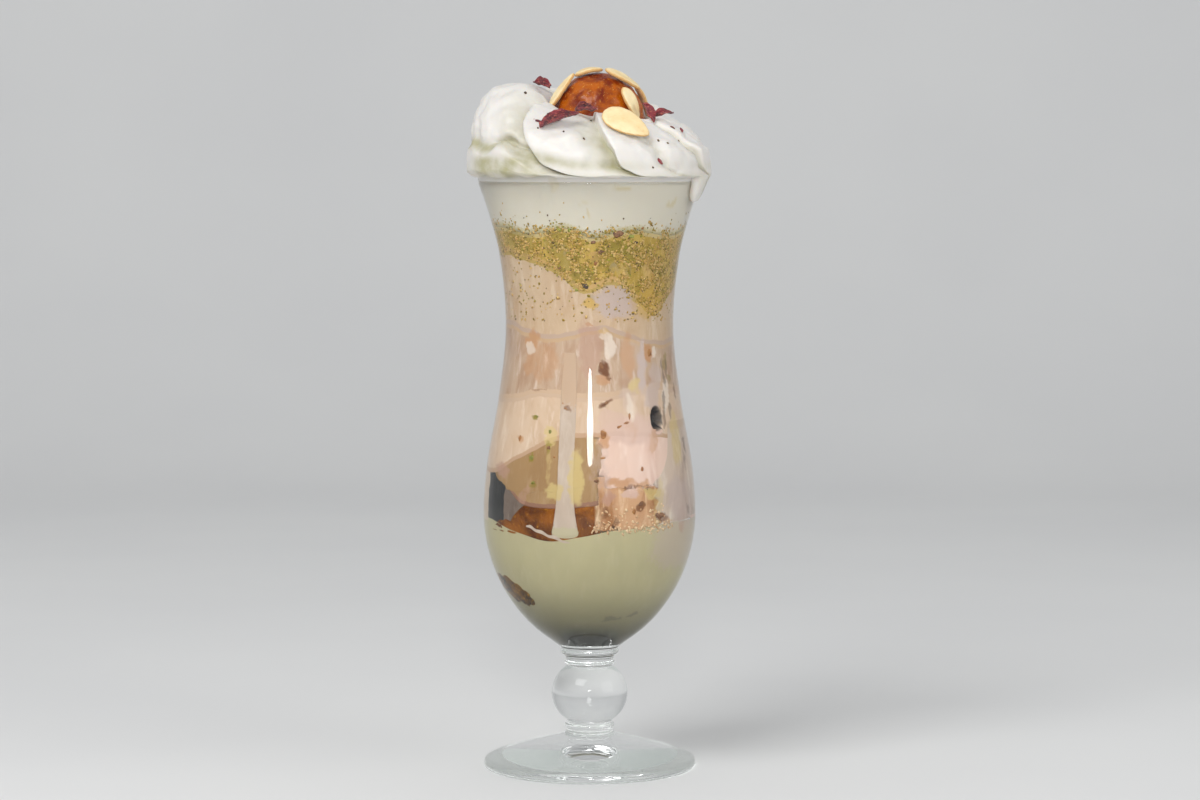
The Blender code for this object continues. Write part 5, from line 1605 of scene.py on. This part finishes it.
class SundaeSizes(bpy.types.PropertyGroup):
    """Sizes that a user may change."""

    glass_steps: bpy.props.IntProperty(name="Glass steps", description="Sides of the turned glass",
                                       default=144, min=24, max=512)
    gap_closing: bpy.props.FloatProperty(name="Gap closing", unit="LENGTH", default=GAP_CLOSING * MM, min=0.0,
                                         description="How far each food grows towards its neighbours")


def finishes():
    """The colours that the user may change."""
    return bpy.context.scene.sundae_finishes


class SUNDAE_OT_shared_effects(bpy.types.Operator):
    """Build the shader node groups that several foods share"""

    bl_idname = "sundae.shared_effects"
    bl_label = "Shared surface effects"

    def execute(self, context):
        marbling_group()
        speckle_group()
        return {"FINISHED"}


class SUNDAE_OT_glass(bpy.types.Operator):
    """Turn the footed glass"""

    bl_idname = "sundae.glass"
    bl_label = "Glass"

    def execute(self, context):
        glass = turned(glass_outline(), context.scene.sundae_sizes.glass_steps)
        finish_piece("glass_vessel", glass, glass_material(), ["glass"])
        return {"FINISHED"}


class SUNDAE_OT_base_cream(bpy.types.Operator):
    """Fill the bottom of the bowl with melted cream and let some run down the wall"""

    bl_idname = "sundae.base_cream"
    bl_label = "Melted cream"

    def execute(self, context):
        # Painted shade towards the bottom of the bowl: the two masks fade the cream to darker colours.
        make_base_cream(wall_food("melted_cream_base", (("shaded", "#76725c"), ("deep", "#2f2d2c"))))
        run = wall_food("cream_run")
        make_run(run)
        paint_patches(add_film("cream_film_left", wall_food("cream_film")))
        rear = add_film("cream_film_back", wall_food("cream_film_rear"))
        set_mask(rear, "low_blend", smooth_step(93.0, 88.0, vertex_array(rear)[:, 2]))
        # Painted shade: a dark film over the shaded air space at the left.
        add_film("pocket_lining", wall_food("pocket_shade"))
        # Partly its own grey-brown and partly painted shade beside the air space at the left.
        add_film("pocket_streak", wall_food("pocket_haze_and_shade"))
        add_film("cream_wisp", run)
        make_right_film(wall_food("cream_film_pale"))
        return {"FINISHED"}


class SUNDAE_OT_scoops(bpy.types.Operator):
    """Press the two scoops and the sponge into the belly of the glass"""

    bl_idname = "sundae.scoops"
    bl_label = "Scoops and sponge"

    def execute(self, context):
        kulfi = wall_food("tan_kulfi")
        sponge = wall_food("sponge_cake")
        fill_from("tan_scoop", kulfi)
        fill_from("pink_scoop_fill", wall_food("pink_ice_cream"))
        fill_from("sponge_pieces", sponge, SPONGE_LOWEST)
        foot = add_film("scoop_foot", kulfi)
        points = vertex_array(foot)
        edges = around(SCOOP_FOOT)(round_the_axis(points)[0])
        set_mask(foot, "low_blend", smooth_step(3.0, 0.0, points[:, 2] - edges))
        paint_patches(foot)
        paint_patches(add_film("sponge_border", sponge))
        return {"FINISHED"}


class SUNDAE_OT_ice_cream_layers(bpy.types.Operator):
    """Stack the ice cream layers in the waist of the glass"""

    bl_idname = "sundae.ice_cream_layers"
    bl_label = "Ice cream layers"

    def execute(self, context):
        lobe = wall_food("lower_beige")
        waist = wall_food("streaked_beige")
        upper = wall_food("upper_beige")
        make_layer("lower_ice_cream", "ice_cream_lower", lobe, SCOOP_TOP, LOBE_TOP,
                   LOBE_LAP, AIR_POCKET)
        make_layer("streaked_band", "ice_cream_middle", waist, LOBE_TOP, WAIST_TOP)
        make_layer("upper_ice_cream", "ice_cream_upper", upper, WAIST_TOP, CRUMB_FLOOR)
        return {"FINISHED"}


class SUNDAE_OT_pistachio(bpy.types.Operator):
    """Lay the pistachio band and its crumbs"""

    bl_idname = "sundae.pistachio"
    bl_label = "Pistachio band"

    def execute(self, context):
        bed = wall_food("pistachio_bed")
        make_layer("pistachio_band", "pistachio_layer", bed, CRUMB_FLOOR, CRUMB_TOP)
        make_crumbs()
        return {"FINISHED"}


class SUNDAE_OT_soaked_dough(bpy.types.Operator):
    """Place the gulab jamun and the loose chunk at the bottom of the glass"""

    bl_idname = "sundae.soaked_dough"
    bl_label = "Soaked gulab jamun"

    def execute(self, context):
        tones = tone("#542600"), tone("#925406"), tone("#b8801c")
        dark = jamun_material("soaked_gulab_jamun", *tones, 0.03, 0.38)
        tones = tone("#241400"), tone("#7c5200"), tone("#aa7e14")
        golden = jamun_material("soaked_crumb", *tones, 0.0, 0.44)
        fill_from("lower_gulab_jamun", dark)
        make_chunk(golden)
        add_film("soaked_edge", dark)
        return {"FINISHED"}


class SUNDAE_OT_wall_bits(bpy.types.Operator):
    """Press nut pieces, fruit and sponge grains against the glass"""

    bl_idname = "sundae.wall_bits"
    bl_label = "Bits at the wall"

    def execute(self, context):
        make_wall_bits()
        make_sponge_grains()
        return {"FINISHED"}


class SUNDAE_OT_whipped_cream(bpy.types.Operator):
    """Pipe the ring of whipped cream"""

    bl_idname = "sundae.whipped_cream"
    bl_label = "Whipped cream"

    def execute(self, context):
        chosen = finishes()
        make_whipped_cream(cream_material(tuple(chosen.whipped_cream), tuple(chosen.cream_fold_shade),
                                          tuple(chosen.cream_shaded_behind_glass)))
        return {"FINISHED"}


class SUNDAE_OT_top_gulab_jamun(bpy.types.Operator):
    """Place the gulab jamun on top"""

    bl_idname = "sundae.top_gulab_jamun"
    bl_label = "Top gulab jamun"

    def execute(self, context):
        chosen = finishes()
        amber = jamun_material("fried_gulab_jamun", tuple(chosen.fried_dough_dark), tuple(chosen.fried_dough),
                               tone("#dba24e"), 0.28, 0.37)
        data = even_copy("gulab_jamun_top", 0.45)
        points = vertex_array(data)
        normals = normal_array(data)
        points += normals * (0.3 * field(points, 3.0, 4.0) + 0.12 * field(points, 1.1, 6.0))[:, None]
        set_vertices(data, points)
        finish_piece("top_gulab_jamun", data, amber, ["gulab_jamun_top"])
        return {"FINISHED"}


class SUNDAE_OT_almonds(bpy.types.Operator):
    """Lay the sliced almonds"""

    bl_idname = "sundae.almonds"
    bl_label = "Sliced almonds"

    def execute(self, context):
        chosen = finishes()
        almond = almond_material(tuple(chosen.almond), tone("#ecd09a"), tuple(chosen.almond_edge))
        for i in range(1, 7):
            node = "almond_flake_%d" % i
            data = smoothed_copy(node, 3)
            points = vertex_array(data)
            normals = normal_array(data)
            across = np.linalg.svd(points - points.mean(axis=0), full_matrices=False)[2][2]
            set_mask(data, "rim", smooth_step(0.93, 0.5, np.abs(normals @ across)) * 0.85)
            points += normals * (0.14 * field(points, 2.2, 2.0 + i) + 0.1)[:, None]
            set_vertices(data, points)
            finish_piece("almond_slice_%d" % i, data, almond, [node])
        return {"FINISHED"}


class SUNDAE_OT_petals(bpy.types.Operator):
    """Scatter the dried rose petals, their scraps and the spice specks"""

    bl_idname = "sundae.petals"
    bl_label = "Rose petals"

    def execute(self, context):
        petal = petal_material(tone("#2c0a12"), tuple(finishes().petal), tone("#bd6350"))
        for i in range(1, 7):
            node = "rose_petal_%d" % i
            data = smoothed_copy(node, 3)
            points = vertex_array(data)
            points += normal_array(data) * (0.35 * field(points, 1.5, 3.0))[:, None]
            set_vertices(data, points)
            finish_piece("petal_%d" % i, data, petal, [node])
        make_top_specks(bpy.data.objects["piped_cream"])
        return {"FINISHED"}


class SUNDAE_OT_stage(bpy.types.Operator):
    """Set up the floor, the lights and the camera"""

    bl_idname = "sundae.stage"
    bl_label = "Stage"

    def execute(self, context):
        make_stage()
        return {"FINISHED"}


OPERATORS = (
    SUNDAE_OT_shared_effects, SUNDAE_OT_glass, SUNDAE_OT_base_cream, SUNDAE_OT_scoops, SUNDAE_OT_soaked_dough,
    SUNDAE_OT_ice_cream_layers, SUNDAE_OT_pistachio, SUNDAE_OT_wall_bits, SUNDAE_OT_whipped_cream,
    SUNDAE_OT_top_gulab_jamun, SUNDAE_OT_almonds, SUNDAE_OT_petals, SUNDAE_OT_stage,
)


class SUNDAE_PT_panel(bpy.types.Panel):
    """Lists the pieces of the sundae, their sizes and their colours"""

    bl_idname = "SUNDAE_PT_panel"
    bl_label = "Gulab jamun sundae"
    bl_space_type = "VIEW_3D"
    bl_region_type = "UI"
    bl_category = "Sundae"

    def draw(self, context):
        for operator in OPERATORS:
            self.layout.operator(operator.bl_idname)
        for group in (context.scene.sundae_sizes, context.scene.sundae_finishes):
            for name in group.__annotations__:
                self.layout.prop(group, name)


CLASSES = (SundaeFinishes, SundaeSizes) + OPERATORS + (SUNDAE_PT_panel,)


def register():
    for made in CLASSES:
        bpy.utils.register_class(made)
    bpy.types.Scene.sundae_finishes = bpy.props.PointerProperty(type=SundaeFinishes)
    bpy.types.Scene.sundae_sizes = bpy.props.PointerProperty(type=SundaeSizes)


def unregister():
    del bpy.types.Scene.sundae_sizes
    del bpy.types.Scene.sundae_finishes
    for made in reversed(CLASSES):
        bpy.utils.unregister_class(made)


def main():
    register()
    for operator in OPERATORS:
        group, name = operator.bl_idname.split(".")
        getattr(getattr(bpy.ops, group), name)()


if __name__ == "__main__":
    main()
